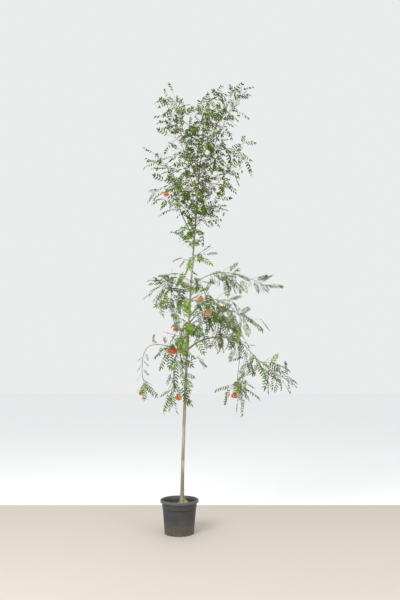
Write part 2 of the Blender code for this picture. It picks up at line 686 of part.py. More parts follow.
def build_soil(collection):
    """The soil fills the pot to a flat top, just clear of the pot's floor and wall."""
    floor = POT_FLOOR + TOUCH
    inset = POT_WALL + TOUCH
    shoulder = POT_LEDGE_HEIGHT - 0.003
    top_radius = POT_LEDGE_RADIUS - inset + (SOIL_TOP - POT_LEDGE_HEIGHT) * 0.06
    profile = [
        (0.0, SOIL_TOP),
        (top_radius, SOIL_TOP),
        (pot_outer_radius(shoulder) - inset, shoulder),
        (pot_outer_radius(floor) - inset - TOUCH, floor),
        (0.0, floor),
    ]
    soil = turned("soil", profile, collection)
    finish(soil, (0.045, 0.032, 0.022), 0.95)


def build_limbs(limbs, collection):
    """The trunk, and each bough cut just clear of the limb that it grows from."""
    points, radii = limbs["trunk"]
    trunk = tube("trunk", points, radii, collection, 10)
    trunk.data.shade_smooth()
    finish(trunk, (0.26, 0.24, 0.16), 0.8)
    for bough in BOUGHS:
        points, radii = limbs[bough.name]
        solid = tube(bough.name, points, radii, collection, 6)
        if bough.at != 1.0:
            parent_points, parent_radii = limbs[bough.parent]
            sides = 10 if bough.parent == "trunk" else 6
            cutter = tube("limb_clearance", parent_points, parent_radii + TOUCH, cutters, sides)
            solid = cut(solid, cutter, collection)
        finish(solid, (0.17, 0.12, 0.09), 0.75)


for leftover in list(bpy.data.objects):
    bpy.data.objects.remove(leftover)

tree = bpy.data.collections.new(OBJECT_NAME)
cutters = bpy.data.collections.new("cutters")
bpy.context.scene.collection.children.link(tree)
bpy.context.scene.collection.children.link(cutters)

limb_lines = limb_paths()
stem_lines = {mass.name: stem_path(mass, limb_lines) for mass in MASSES}
build_pot(tree)
build_soil(tree)
build_limbs(limb_lines, tree)
for foliage in MASSES:
    build_mass(foliage, stem_lines, limb_lines, tree)
section = bpy.data.objects["twig_section"]
bpy.data.objects.remove(section)
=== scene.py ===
"""A young rowan in a round nursery pot: bark, twigs, feathered leaves and berries.

Metres, +Z up. The limbs, twigs and leaves follow the rule that the solids were
grown by, and are carried on here to finer twigs, toothed leaflets and single
berries. Every surface is worked out as whole arrays: a point is a function of
two numbers on a grid, or a ring carried along a path.
"""

import itertools
import json
import math
import random
from collections import namedtuple

import bpy
import numpy as np
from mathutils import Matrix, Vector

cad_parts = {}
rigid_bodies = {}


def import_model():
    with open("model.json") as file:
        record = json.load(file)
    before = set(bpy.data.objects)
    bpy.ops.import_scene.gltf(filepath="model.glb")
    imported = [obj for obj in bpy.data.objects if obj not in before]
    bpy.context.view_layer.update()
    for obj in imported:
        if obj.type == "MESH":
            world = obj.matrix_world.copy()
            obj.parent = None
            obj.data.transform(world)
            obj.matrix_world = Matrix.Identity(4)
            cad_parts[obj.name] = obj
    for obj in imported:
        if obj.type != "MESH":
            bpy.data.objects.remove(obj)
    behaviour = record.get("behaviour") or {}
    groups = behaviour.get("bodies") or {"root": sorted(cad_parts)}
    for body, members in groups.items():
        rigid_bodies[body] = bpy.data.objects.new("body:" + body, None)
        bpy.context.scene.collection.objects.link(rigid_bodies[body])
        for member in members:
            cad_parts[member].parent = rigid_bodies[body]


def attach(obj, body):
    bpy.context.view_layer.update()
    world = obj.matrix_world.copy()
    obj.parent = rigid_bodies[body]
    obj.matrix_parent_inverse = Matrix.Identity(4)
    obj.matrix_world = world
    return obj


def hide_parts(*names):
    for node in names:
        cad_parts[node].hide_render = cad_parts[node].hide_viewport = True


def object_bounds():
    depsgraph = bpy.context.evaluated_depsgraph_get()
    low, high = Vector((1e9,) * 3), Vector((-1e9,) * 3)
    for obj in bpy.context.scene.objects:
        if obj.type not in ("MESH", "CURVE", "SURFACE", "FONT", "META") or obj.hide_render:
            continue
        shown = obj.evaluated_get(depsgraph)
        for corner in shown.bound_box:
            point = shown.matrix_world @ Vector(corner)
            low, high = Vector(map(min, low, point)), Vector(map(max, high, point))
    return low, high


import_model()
cad_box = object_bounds()

TOUCH = 0.0003                # the room between touching pieces, as the solids have it
UP = np.array((0.0, 0.0, 1.0))
GOLDEN_TURN = math.radians(137.5)

# The pot and its soil.
POT_HEIGHT = 0.275
POT_FOOT_RADIUS = 0.1235
POT_LEDGE_RADIUS = 0.1425
POT_LEDGE_HEIGHT = 0.206
POT_COLLAR_RADIUS = 0.1465
POT_LIP_RADIUS = 0.1650
POT_LIP_DEPTH = 0.022
POT_WALL = 0.0030
POT_FLOOR = 0.0040
POT_RIBS = 56
POT_RIB_DEPTH = 0.0004
DRAIN_SLOTS = 8
DRAIN_SLOT = (0.020, 0.024, 0.018)
SOIL_TOP = 0.240

# The trunk.
TRUNK_FOOT = SOIL_TOP + TOUCH
TRUNK_TOP = 3.64
TRUNK_FOOT_X = 0.022
TRUNK_LEAN = 0.185
TRUNK_LEAN_POWER = 1.6
TRUNK_SWAY = 0.012
TRUNK_FOOT_RADIUS = 0.0165
TRUNK_TIP_RADIUS = 0.0036
TRUNK_TAPER_POWER = 0.85
TRUNK_STATIONS = 22
FLARE_RADIUS = 0.011
FLARE_HEIGHT = 0.035

# The rest of the growth, as the solids have it.
BOUGH_STATIONS = 6
STEM_STATIONS = 6
STEM_RADIUS = 0.0030
TWIG_LENGTH = 0.42            # as a share of the mass's reach
LEAF_LENGTH = 0.195
LEAF_SPREAD = 0.31            # half a leaf's width, as a share of its length
LEAF_ARCH = 0.16              # how far its tip sinks, as a share of its length
LEAF_ROOT = 0.004
TRIES = 26
LIMB_CLEARANCE = 0.004
SHARE_MARGIN = 0.05           # how far a mass keeps from the middle towards the next
LEAF_GAP = 0.022
TWIG_GAP = 0.010

# What the finer growth adds.
LIFE_SIZE = 0.80              # a real leaf's length, as a share of a solid leaf's
HIGH_LIFE_SIZE = 0.60         # the same in the upper crown
UPPER_FROM = 2.55             # the height where the upper crown begins
FINE_MARGIN = -0.45           # how far finer leaves may mingle with the next mass's
FINE_TRIES = 8
FINE_TWIG_TRIES = 6
FINE_TWIG_STEP = 0.070
FINE_LEAF_STEP = 0.038
HIGH_LEAF_STEP = 0.032
FINE_LEAF_GAP = 0.012
LEAF_TIP_FROM = 0.97          # past this share of a shoot a leaf goes nearly straight on
LAST_LEAF_AT = 0.995
LEAFLET_ROWS = 8
BERRY_RADIUS = 0.0045
BUDS = 34                     # raised buds up the trunk
FIRST_BUD = 0.10
BUD_STEP = 0.094

# Seeds of the random draws.
FINE_SEED = 1000
SPRAY_SEED = 77
SMALL_LEAF_SEED = 93
SKY_SEED = 55
CHIP_SEED = 7
BUD_SEED = 5
TINT_SEED = 21
BERRY_SEED = 31

# Leaflets: pairs, length as a share of the leaf's, half width as a share of the leaflet's,
# and how unevenly they stand.
LeafForm = namedtuple("LeafForm", "pairs length width unrest")
LOW_FORM = LeafForm(6, 0.28, 0.150, 1.0)
HIGH_FORM = LeafForm(4, 0.320, 0.195, 1.8)

# How leaves turn: freedom at the first try, what each try adds, sinking and facing outward where
# the mass hangs, facing outward anywhere, rolling, and the shortest as a share of the full length.
Habit = namedtuple("Habit", "freedom more sink outward_hung outward roll shortest")
SOLID_HABIT = Habit(0.35, 0.06, 0.7, 0.6, 0.0, 0.7, 0.82)
FINE_HABIT = Habit(0.30, 0.10, 0.8, 0.5, 0.3, 0.6, 0.62)

# The photograph's eye point, how far up it looks, in degrees, its lens, its size in pixels, and
# how many of them show a metre of the crown.
EYE = (0.1757, -4.783, 1.2225)
EYE_TILT = 9.265
LENS = 32.0
SENSOR_WIDTH = 36.0           # along the longer side
PHOTO_WIDTH = 400
PHOTO_HEIGHT = 600
LOWER_PIXELS = 110.0
UPPER_PIXELS = 105.5

# Stage and light.
FLOOR_JOIN = 1.088            # where the warm floor ends and the white one begins
SKY_TINT = (0.985, 0.995, 1.0, 1.0)
SKY_STRENGTH = 0.84
LAMP_AIM = (0.1, 0.0, 2.0)
LAMP_SIZE = 3.0

Limb = namedtuple("Limb", "name parent at tip lift foot_radius tip_radius")
BOUGHS = [
    Limb("bough_right_leader", "trunk", 3.36, (0.31, 0.03, 3.66), (0.02, 0.02, 0.01), 0.0056, 0.0034),
    Limb("bough_right_side", "trunk", 3.18, (0.31, -0.12, 3.44), (0.01, -0.05, -0.02), 0.0045, 0.0030),
    Limb("bough_left_leader", "trunk", 3.13, (0.06, 0.02, 3.44), (-0.03, 0.02, 0.01), 0.0056, 0.0034),
    Limb("bough_left_side", "bough_left_leader", 0.55, (0.03, -0.09, 3.48), (0.0, -0.04, 0.0), 0.0034, 0.0028),
    Limb("bough_left_back", "trunk", 3.02, (0.07, 0.10, 3.32), (-0.03, 0.03, -0.02), 0.0045, 0.0030),
    Limb("bough_right_arch_high", "trunk", 3.27, (0.38, 0.00, 3.45), (0.0, 0.0, 0.05), 0.0042, 0.0028),
    Limb("bough_right_shoot", "trunk", 2.83, (0.35, -0.08, 3.10), (0.0, 0.0, 0.03), 0.0044, 0.0026),
    Limb("bough_left_shoot", "trunk", 2.58, (-0.08, -0.05, 3.12), (-0.05, -0.02, -0.04), 0.0058, 0.0032),
    Limb("bough_back_high", "trunk", 2.92, (0.21, 0.18, 3.12), (0.0, 0.04, 0.01), 0.0046, 0.0028),
    Limb("bough_left_drop", "trunk", 1.90, (-0.05, 0.07, 2.10), (-0.02, 0.03, 0.06), 0.0044, 0.0028),
    Limb("bough_right_high", "trunk", 2.10, (0.22, 0.02, 2.22), (0.0, 0.0, 0.03), 0.0056, 0.0034),
    Limb("bough_right_mid", "trunk", 1.84, (0.24, -0.06, 1.98), (-0.01, -0.01, 0.04), 0.0058, 0.0034),
    Limb("bough_right_back", "trunk", 1.78, (0.21, 0.11, 1.91), (-0.01, 0.02, 0.04), 0.0052, 0.0032),
    Limb("bough_right_arch", "trunk", 1.55, (0.43, -0.04, 1.65), (-0.02, 0.0, 0.10), 0.0078, 0.0052),
    Limb("bough_right_far", "bough_right_arch", 1.0, (0.62, -0.06, 1.53), (0.0, 0.0, 0.0), 0.0050, 0.0034),
    Limb("bough_right_hang", "bough_right_far", 0.45, (0.51, -0.02, 1.33), (0.02, 0.02, 0.05), 0.0034, 0.0026),
    Limb("bough_left_arch", "trunk", 1.49, (-0.22, 0.03, 1.60), (-0.02, 0.0, 0.06), 0.0056, 0.0040),
    Limb("bough_left_end", "bough_left_arch", 1.0, (-0.34, 0.04, 1.33), (0.0, 0.0, 0.0), 0.0038, 0.0026),
    Limb("bough_left_hang", "trunk", 1.62, (-0.05, -0.10, 1.40), (-0.04, -0.05, 0.11), 0.0044, 0.0028),
    Limb("bough_front_low", "trunk", 1.68, (0.05, -0.20, 1.76), (0.0, 0.0, 0.06), 0.0052, 0.0030),
    Limb("bough_back_low", "trunk", 1.72, (0.17, 0.26, 1.83), (0.0, 0.0, 0.08), 0.0056, 0.0032),
    Limb("bough_back_left", "trunk", 1.86, (-0.03, 0.20, 2.03), (0.0, 0.0, 0.04), 0.0048, 0.0030),
]

Mass = namedtuple("Mass", "name parent at tip reach twigs hang fruit", defaults=[()])
MASSES = [
    Mass("leaves_right_leader", "bough_right_leader", None, (0.56, 0.05, 3.95), 0.20, 4, 0.3),
    Mass("leaves_right_side", "bough_right_side", None, (0.45, -0.18, 3.74), 0.22, 3, 0.3),
    Mass("leaves_left_leader", "bough_left_leader", None, (-0.06, 0.05, 3.96), 0.20, 4, 0.1),
    Mass("leaves_left_side", "bough_left_side", None, (-0.13, -0.14, 3.82), 0.20, 3, 0.3),
    Mass("leaves_left_back", "bough_left_back", None, (-0.12, 0.20, 3.74), 0.22, 3, 0.3),
    Mass("leaves_top", "trunk", None, (0.19, 0.00, 3.90), 0.21, 4, 0.0),
    Mass("leaves_front_high", "trunk", 3.10, (0.14, -0.24, 3.46), 0.22, 3, 0.3),
    Mass("leaves_back_top", "trunk", 3.46, (0.29, 0.25, 3.72), 0.22, 2, 0.3),
    Mass("leaves_right_arch_high", "bough_right_arch_high", None, (0.56, -0.04, 3.41), 0.20, 2, 0.4),
    Mass("leaves_right_inner", "trunk", 2.98, (0.31, 0.10, 3.28), 0.22, 3, 0.3),
    Mass("leaves_right_shoot", "bough_right_shoot", None, (0.47, -0.12, 3.22), 0.20, 2, 0.6),
    Mass("leaves_left_shoot", "bough_left_shoot", None, (-0.26, -0.08, 3.38), 0.17, 2, 0.3),
    Mass("leaves_left_fruit", "trunk", 2.75, (-0.16, -0.16, 2.97), 0.21, 2, 0.5,
         [(-0.13, -0.18, 2.94, 0.060)]),
    Mass("leaves_front_mid", "trunk", 2.79, (0.08, -0.25, 3.06), 0.22, 2, 0.4),
    Mass("leaves_back_high", "bough_back_high", None, (0.22, 0.34, 3.30), 0.22, 2, 0.4),
    Mass("leaves_left_middle", "trunk", 2.88, (-0.06, 0.22, 3.12), 0.22, 2, 0.4),
    Mass("leaves_mid_right", "trunk", 2.68, (0.33, 0.06, 2.90), 0.21, 2, 0.5),
    Mass("leaves_trunk_front", "trunk", 2.54, (0.14, -0.20, 2.74), 0.20, 2, 0.5),
    Mass("leaves_trunk_left", "trunk", 2.47, (0.00, 0.08, 2.66), 0.19, 1, 0.4),
    Mass("leaves_trunk_right", "trunk", 2.38, (0.21, 0.02, 2.47), 0.16, 1, 0.4),
    Mass("leaves_left_high", "trunk", 1.95, (-0.14, -0.09, 2.14), 0.21, 4, 0.6),
    Mass("leaves_left_drop", "bough_left_drop", None, (-0.09, 0.08, 1.93), 0.20, 3, 0.8,
         [(-0.045, 0.07, 1.74, 0.062)]),
    Mass("leaves_right_high", "bough_right_high", None, (0.76, 0.09, 2.16), 0.19, 4, 0.5),
    Mass("leaves_right_mid", "bough_right_mid", None, (0.56, -0.13, 1.78), 0.21, 4, 0.5),
    Mass("leaves_right_back", "bough_right_back", None, (0.45, 0.18, 1.74), 0.22, 3, 0.6),
    Mass("leaves_right_fruit", "trunk", 2.00, (0.25, -0.19, 2.04), 0.21, 2, 0.5,
         [(0.18, -0.17, 1.98, 0.070), (0.25, -0.22, 1.85, 0.066)]),
    Mass("leaves_right_far", "bough_right_far", None, (0.92, -0.10, 1.29), 0.20, 4, 0.7),
    Mass("leaves_right_hang", "bough_right_hang", None, (0.50, 0.00, 1.19), 0.20, 2, 0.9,
         [(0.475, -0.05, 1.145, 0.068)]),
    Mass("leaves_left_end", "bough_left_end", None, (-0.31, 0.05, 1.24), 0.18, 2, 0.7,
         [(-0.34, 0.02, 1.165, 0.058)]),
    Mass("leaves_left_hang", "bough_left_hang", None, (-0.04, -0.13, 1.19), 0.18, 2, 0.9,
         [(-0.01, -0.10, 1.13, 0.075)]),
    Mass("leaves_left_low", "trunk", 1.66, (-0.07, -0.11, 1.66), 0.20, 2, 0.8,
         [(-0.06, -0.16, 1.53, 0.098)]),
    Mass("leaves_right_low", "trunk", 1.42, (0.17, -0.07, 1.49), 0.18, 2, 0.7),
    Mass("leaves_front_low", "bough_front_low", None, (0.07, -0.38, 1.62), 0.22, 2, 0.7),
    Mass("leaves_back_low", "bough_back_low", None, (0.20, 0.46, 1.66), 0.22, 2, 0.7),
    Mass("leaves_back_left", "bough_back_left", None, (-0.12, 0.36, 2.00), 0.21, 2, 0.6),
]

# Twigs that fill out the crown where it is fullest: the stem or bough each leaves, at what
# share of it, its tip's X, Y and Z, and how many leaves it carries.
Spray = namedtuple("Spray", "limb at x y z leaves")
SPRAYS = [Spray(*row) for row in (
    ("leaves_right_leader", 0.55, 0.50, 0.03, 4.08, 5), ("leaves_right_leader", 0.90, 0.63, 0.04, 4.08, 4),
    ("leaves_right_leader", 0.45, 0.36, 0.02, 3.99, 6),
    ("bough_right_arch_high", 0.75, 0.35, -0.08, 3.36, 6), ("leaves_right_inner", 0.50, 0.33, 0.02, 3.42, 6),
    ("leaves_right_inner", 0.85, 0.27, -0.02, 3.36, 6), ("leaves_left_back", 0.05, 0.00, -0.02, 3.30, 6),
    ("bough_left_shoot", 0.85, -0.15, -0.04, 3.12, 4), ("leaves_mid_right", 0.35, 0.21, -0.10, 2.88, 6),
    ("leaves_trunk_front", 0.50, 0.20, -0.14, 2.80, 6), ("leaves_trunk_right", 0.05, 0.05, -0.03, 2.37, 2),
    ("leaves_left_high", 0.55, 0.00, -0.04, 2.23, 6), ("leaves_left_high", 0.75, -0.08, -0.06, 2.27, 6),
    ("leaves_left_high", 0.95, -0.25, -0.08, 2.07, 6), ("leaves_right_high", 0.10, 0.28, 0.00, 2.16, 4),
    ("leaves_right_high", 0.35, 0.42, 0.04, 2.14, 5), ("leaves_right_mid", 0.10, 0.25, -0.10, 1.84, 6),
    ("leaves_right_mid", 0.25, 0.33, -0.12, 1.82, 6), ("leaves_right_back", 0.05, 0.20, 0.05, 1.80, 6),
    ("leaves_right_back", 0.30, 0.30, 0.06, 1.86, 5), ("leaves_right_fruit", 0.50, 0.16, -0.14, 1.90, 5),
    ("leaves_right_mid", 0.90, 0.52, -0.10, 1.64, 6), ("leaves_right_back", 0.90, 0.48, 0.08, 1.62, 5),
    ("leaves_right_far", 0.02, 0.60, -0.04, 1.41, 6), ("leaves_right_far", 0.15, 0.68, -0.08, 1.40, 6),
    ("bough_right_far", 0.80, 0.56, -0.03, 1.42, 5), ("leaves_right_far", 0.55, 0.83, -0.06, 1.43, 3),
    ("leaves_right_far", 0.90, 0.95, -0.10, 1.31, 3), ("leaves_right_hang", 0.10, 0.58, -0.03, 1.28, 6),
    ("leaves_right_hang", 0.40, 0.58, -0.05, 1.18, 5), ("leaves_right_hang", 0.60, 0.42, 0.02, 1.20, 4),
    ("bough_left_hang", 0.80, -0.03, -0.12, 1.42, 6), ("leaves_left_hang", 0.05, -0.08, -0.09, 1.33, 3),
    ("leaves_left_hang", 0.30, 0.00, -0.10, 1.30, 2), ("leaves_left_low", 0.90, -0.03, -0.14, 1.54, 5),
    ("leaves_left_leader", 0.80, -0.09, 0.04, 4.07, 5), ("leaves_left_leader", 0.95, -0.18, 0.03, 4.00, 4),
    ("leaves_top", 0.80, 0.33, 0.00, 4.01, 6), ("leaves_top", 0.10, 0.12, -0.06, 3.70, 6),
    ("leaves_top", 0.40, 0.27, -0.05, 3.78, 6), ("leaves_front_high", 0.90, 0.20, -0.20, 3.58, 6),
    ("leaves_left_back", 0.10, 0.03, 0.00, 3.42, 6), ("leaves_right_side", 0.10, 0.38, -0.10, 3.50, 6),
    ("leaves_right_shoot", 0.80, 0.45, -0.10, 3.12, 4), ("bough_right_shoot", 0.90, 0.41, -0.06, 3.07, 4),
    ("leaves_left_middle", 0.90, -0.12, 0.14, 3.16, 6), ("leaves_front_mid", 0.80, 0.01, -0.20, 3.14, 6),
    ("leaves_mid_right", 0.70, 0.33, 0.00, 2.84, 5), ("leaves_trunk_front", 0.30, 0.12, -0.12, 2.62, 5),
    ("leaves_trunk_left", 0.30, 0.08, -0.06, 2.52, 4), ("leaves_trunk_right", 0.20, 0.13, -0.09, 2.40, 3),
    ("leaves_right_high", 0.03, 0.30, -0.02, 2.24, 4), ("leaves_left_high", 0.98, -0.27, -0.10, 2.03, 5),
    ("bough_front_low", 0.60, 0.00, -0.10, 1.75, 5), ("leaves_left_low", 0.60, -0.10, -0.12, 1.53, 6),
    ("leaves_left_low", 0.40, -0.02, -0.10, 1.50, 6), ("bough_right_far", 0.35, 0.48, -0.02, 1.51, 4),
    ("leaves_right_far", 0.10, 0.66, -0.05, 1.50, 3), ("leaves_right_far", 0.40, 0.78, -0.06, 1.47, 3),
    ("leaves_right_far", 0.50, 0.77, -0.08, 1.30, 4), ("leaves_right_back", 0.35, 0.30, 0.04, 1.72, 5),
    ("leaves_right_mid", 0.98, 0.71, -0.13, 1.81, 3), ("leaves_right_mid", 0.05, 0.21, -0.08, 1.95, 5),
    ("leaves_left_hang", 0.40, 0.06, -0.10, 1.28, 3), ("leaves_left_hang", 0.80, 0.07, -0.10, 1.15, 3),
    ("leaves_right_hang", 0.30, 0.55, -0.03, 1.28, 4), ("leaves_front_high", 0.35, 0.12, -0.12, 3.32, 6),
    ("leaves_front_high", 0.50, 0.20, -0.15, 3.36, 6), ("bough_right_arch_high", 0.50, 0.30, -0.05, 3.31, 6),
    ("bough_right_side", 0.40, 0.36, -0.10, 3.33, 6), ("leaves_mid_right", 0.50, 0.24, -0.05, 2.91, 6),
    ("leaves_trunk_front", 0.70, 0.22, -0.16, 2.88, 6), ("leaves_trunk_front", 0.20, 0.10, -0.10, 2.74, 6),
    ("leaves_right_side", 0.05, 0.33, -0.12, 3.52, 6), ("leaves_top", 0.05, 0.10, 0.00, 3.64, 6),
    ("leaves_top", 0.30, 0.24, -0.03, 3.72, 6), ("leaves_front_high", 0.80, 0.10, -0.20, 3.57, 6),
    ("leaves_front_mid", 0.90, 0.05, -0.22, 3.12, 6), ("leaves_right_leader", 0.75, 0.52, 0.02, 4.05, 5),
    ("leaves_right_leader", 0.60, 0.43, 0.02, 4.02, 5), ("leaves_left_high", 0.70, -0.17, -0.07, 2.17, 6),
    ("leaves_left_high", 0.85, -0.20, -0.08, 2.10, 5), ("leaves_left_high", 0.15, 0.07, -0.06, 2.14, 5),
    ("bough_right_high", 0.60, 0.19, -0.03, 2.15, 4), ("leaves_right_high", 0.25, 0.44, 0.00, 2.22, 4),
    ("leaves_right_high", 0.98, 0.81, 0.08, 2.13, 4), ("leaves_right_mid", 0.15, 0.28, -0.08, 1.94, 5),
    ("bough_front_low", 0.40, 0.03, -0.10, 1.81, 6), ("leaves_right_mid", 0.80, 0.55, -0.13, 1.86, 4),
    ("leaves_right_far", 0.02, 0.58, -0.03, 1.47, 4), ("leaves_right_hang", 0.50, 0.55, -0.02, 1.18, 5),
    ("leaves_left_hang", 0.90, -0.08, -0.12, 1.15, 4), ("leaves_left_low", 0.80, -0.15, -0.10, 1.51, 5),
)]

# More of them, picked in the photograph: the tip is where it shows in pixels, across and down, and its Y.
PickedSpray = namedtuple("PickedSpray", "limb at across down y leaves")
PICKED_SPRAYS = [PickedSpray(*row) for row in (
    ("leaves_right_leader", 0.55, 222, 97, 0.03, 6), ("leaves_right_leader", 0.70, 230, 95, 0.03, 5),
    ("leaves_right_leader", 0.85, 241, 90, 0.04, 4), ("leaves_left_leader", 0.70, 170, 105, 0.05, 4),
    ("leaves_top", 0.50, 210, 116, -0.05, 6), ("leaves_top", 0.20, 213, 126, -0.04, 6),
    ("bough_right_leader", 0.70, 208, 124, -0.06, 6), ("leaves_right_side", 0.60, 226, 127, -0.15, 5),
    ("bough_right_side", 0.80, 219, 147, -0.10, 6), ("leaves_right_side", 0.05, 224, 148, -0.12, 5),
    ("leaves_right_shoot", 0.50, 224, 168, -0.10, 5), ("bough_right_shoot", 0.95, 221, 174, -0.04, 4),
    ("bough_left_shoot", 0.70, 169, 178, -0.06, 4), ("leaves_front_mid", 0.80, 180, 185, -0.20, 5),
    ("leaves_left_middle", 0.80, 175, 181, 0.15, 5), ("leaves_mid_right", 0.30, 206, 200, -0.03, 6),
    ("leaves_right_inner", 0.20, 208, 184, 0.00, 6), ("bough_right_shoot", 0.30, 205, 192, -0.06, 6),
    ("leaves_trunk_front", 0.60, 190, 218, -0.15, 6), ("leaves_trunk_front", 0.40, 196, 226, -0.12, 5),
    ("leaves_trunk_left", 0.20, 187, 240, -0.05, 4), ("trunk", 0.62, 180, 258, -0.04, 4),
    ("trunk", 0.63, 201, 257, 0.02, 3), ("leaves_right_arch_high", 0.80, 244, 143, -0.04, 4),
    ("leaves_left_high", 0.95, 154, 301, -0.08, 6), ("leaves_left_high", 0.90, 161, 297, -0.09, 5),
    ("leaves_right_fruit", 0.90, 213, 302, -0.18, 5), ("bough_right_mid", 0.90, 217, 300, -0.08, 4),
    ("leaves_right_high", 0.15, 227, 274, 0.03, 4), ("leaves_right_high", 0.95, 264, 281, 0.08, 4),
    ("leaves_right_mid", 0.90, 236, 312, -0.12, 5), ("leaves_right_mid", 0.70, 233, 322, -0.13, 5),
    ("bough_front_low", 0.50, 190, 321, -0.16, 6), ("leaves_left_low", 0.20, 186, 328, -0.06, 5),
    ("leaves_right_back", 0.60, 219, 341, 0.10, 5), ("leaves_left_hang", 0.95, 177, 397, -0.13, 4),
    ("leaves_left_hang", 0.70, 184, 384, -0.10, 5), ("leaves_left_hang", 0.50, 171, 386, -0.10, 5),
    ("leaves_right_far", 0.10, 252, 366, -0.05, 5), ("leaves_right_far", 0.30, 262, 373, -0.06, 5),
    ("leaves_right_hang", 0.50, 227, 388, 0.02, 5), ("leaves_right_hang", 0.45, 240, 381, 0.02, 5),
    ("leaves_right_far", 0.95, 291, 381, -0.10, 4), ("leaves_right_leader", 0.90, 241, 88, 0.04, 4),
    ("leaves_right_leader", 0.50, 222, 98, 0.00, 5), ("leaves_left_back", 0.50, 178, 134, 0.10, 4),
    ("leaves_front_high", 0.40, 186, 163, -0.15, 6), ("bough_left_leader", 0.60, 185, 164, 0.05, 6),
    ("bough_right_side", 0.50, 206, 160, -0.06, 6), ("bough_right_arch_high", 0.40, 207, 161, 0.00, 5),
    ("bough_right_shoot", 0.90, 226, 187, -0.06, 4), ("leaves_front_mid", 0.70, 184, 190, -0.18, 5),
    ("leaves_left_fruit", 0.95, 153, 192, -0.16, 4), ("leaves_mid_right", 0.60, 206, 203, 0.05, 5),
    ("leaves_mid_right", 0.40, 208, 216, 0.00, 5), ("leaves_trunk_front", 0.30, 198, 231, -0.10, 4),
    ("leaves_left_high", 0.30, 183, 280, -0.06, 5), ("trunk", 0.59, 194, 274, -0.03, 3),
    ("leaves_right_high", 0.30, 233, 280, 0.00, 5), ("leaves_right_high", 0.95, 264, 291, 0.05, 5),
    ("leaves_left_low", 0.30, 184, 321, -0.12, 6), ("leaves_left_low", 0.15, 188, 334, -0.08, 6),
    ("leaves_left_low", 0.90, 171, 342, -0.11, 5), ("bough_left_hang", 0.70, 180, 359, -0.13, 6),
    ("bough_left_hang", 0.90, 182, 362, -0.10, 5), ("leaves_left_hang", 0.20, 186, 375, -0.12, 6),
    ("leaves_left_hang", 0.80, 169, 392, -0.14, 5), ("leaves_right_hang", 0.95, 243, 396, 0.00, 6),
    ("leaves_right_hang", 0.80, 225, 393, 0.02, 4), ("leaves_right_far", 0.40, 262, 383, -0.08, 5),
    ("leaves_right_far", 0.98, 290, 384, -0.10, 5), ("leaves_right_back", 0.70, 221, 345, 0.10, 4),
    ("leaves_right_leader", 0.85, 240, 88, 0.02, 5), ("leaves_right_leader", 0.95, 246, 89, 0.05, 4),
    ("leaves_top", 0.05, 201, 136, -0.05, 5), ("bough_right_side", 0.90, 215, 145, -0.14, 5),
    ("leaves_right_arch_high", 0.90, 248, 165, -0.05, 4), ("leaves_mid_right", 0.80, 219, 199, 0.05, 5),
    ("leaves_mid_right", 0.50, 211, 218, 0.00, 5), ("leaves_left_fruit", 0.80, 163, 200, -0.15, 5),
    ("leaves_right_back", 0.50, 215, 333, 0.12, 5), ("leaves_left_low", 0.95, 175, 340, -0.12, 6),
    ("leaves_right_hang", 0.90, 245, 397, -0.02, 6), ("leaves_right_hang", 0.60, 243, 386, 0.02, 5),
    ("leaves_right_far", 0.95, 293, 380, -0.10, 5), ("leaves_right_far", 0.98, 292, 386, -0.12, 4),
    ("leaves_right_high", 0.98, 267, 285, 0.07, 5), ("leaves_right_high", 0.97, 266, 290, 0.05, 4),
    ("leaves_right_high", 0.85, 258, 280, 0.06, 4), ("leaves_left_fruit", 0.60, 178, 183, -0.12, 5),
    ("leaves_right_inner", 0.80, 217, 168, 0.02, 5), ("bough_right_shoot", 0.90, 222, 186, 0.04, 4),
    ("leaves_right_leader", 0.60, 221, 97, 0.02, 5), ("leaves_right_leader", 0.35, 216, 118, 0.00, 5),
    ("leaves_left_low", 0.20, 178, 357, -0.10, 5), ("leaves_left_drop", 0.55, 177, 316, -0.05, 5),
    ("leaves_right_hang", 0.95, 243, 399, -0.02, 6), ("leaves_left_hang", 0.85, 169, 391, -0.12, 5),
    ("leaves_left_high", 0.95, 156, 304, -0.08, 4), ("leaves_right_hang", 0.97, 249, 401, -0.01, 4),
)]

# Small leaves: bough, first and last share of it, how many, the mass, and size.
SMALL_LEAVES = [
    ("bough_left_end", 0.10, 0.95, 9, "leaves_left_end", 0.55),
    ("bough_left_arch", 0.70, 0.98, 3, "leaves_left_end", 0.55),
    ("bough_right_far", 0.10, 0.90, 5, "leaves_right_far", 0.75),
    ("bough_left_shoot", 0.45, 0.95, 5, "leaves_left_shoot", 0.80),
    ("bough_right_arch_high", 0.50, 0.95, 4, "leaves_right_arch_high", 0.80),
]

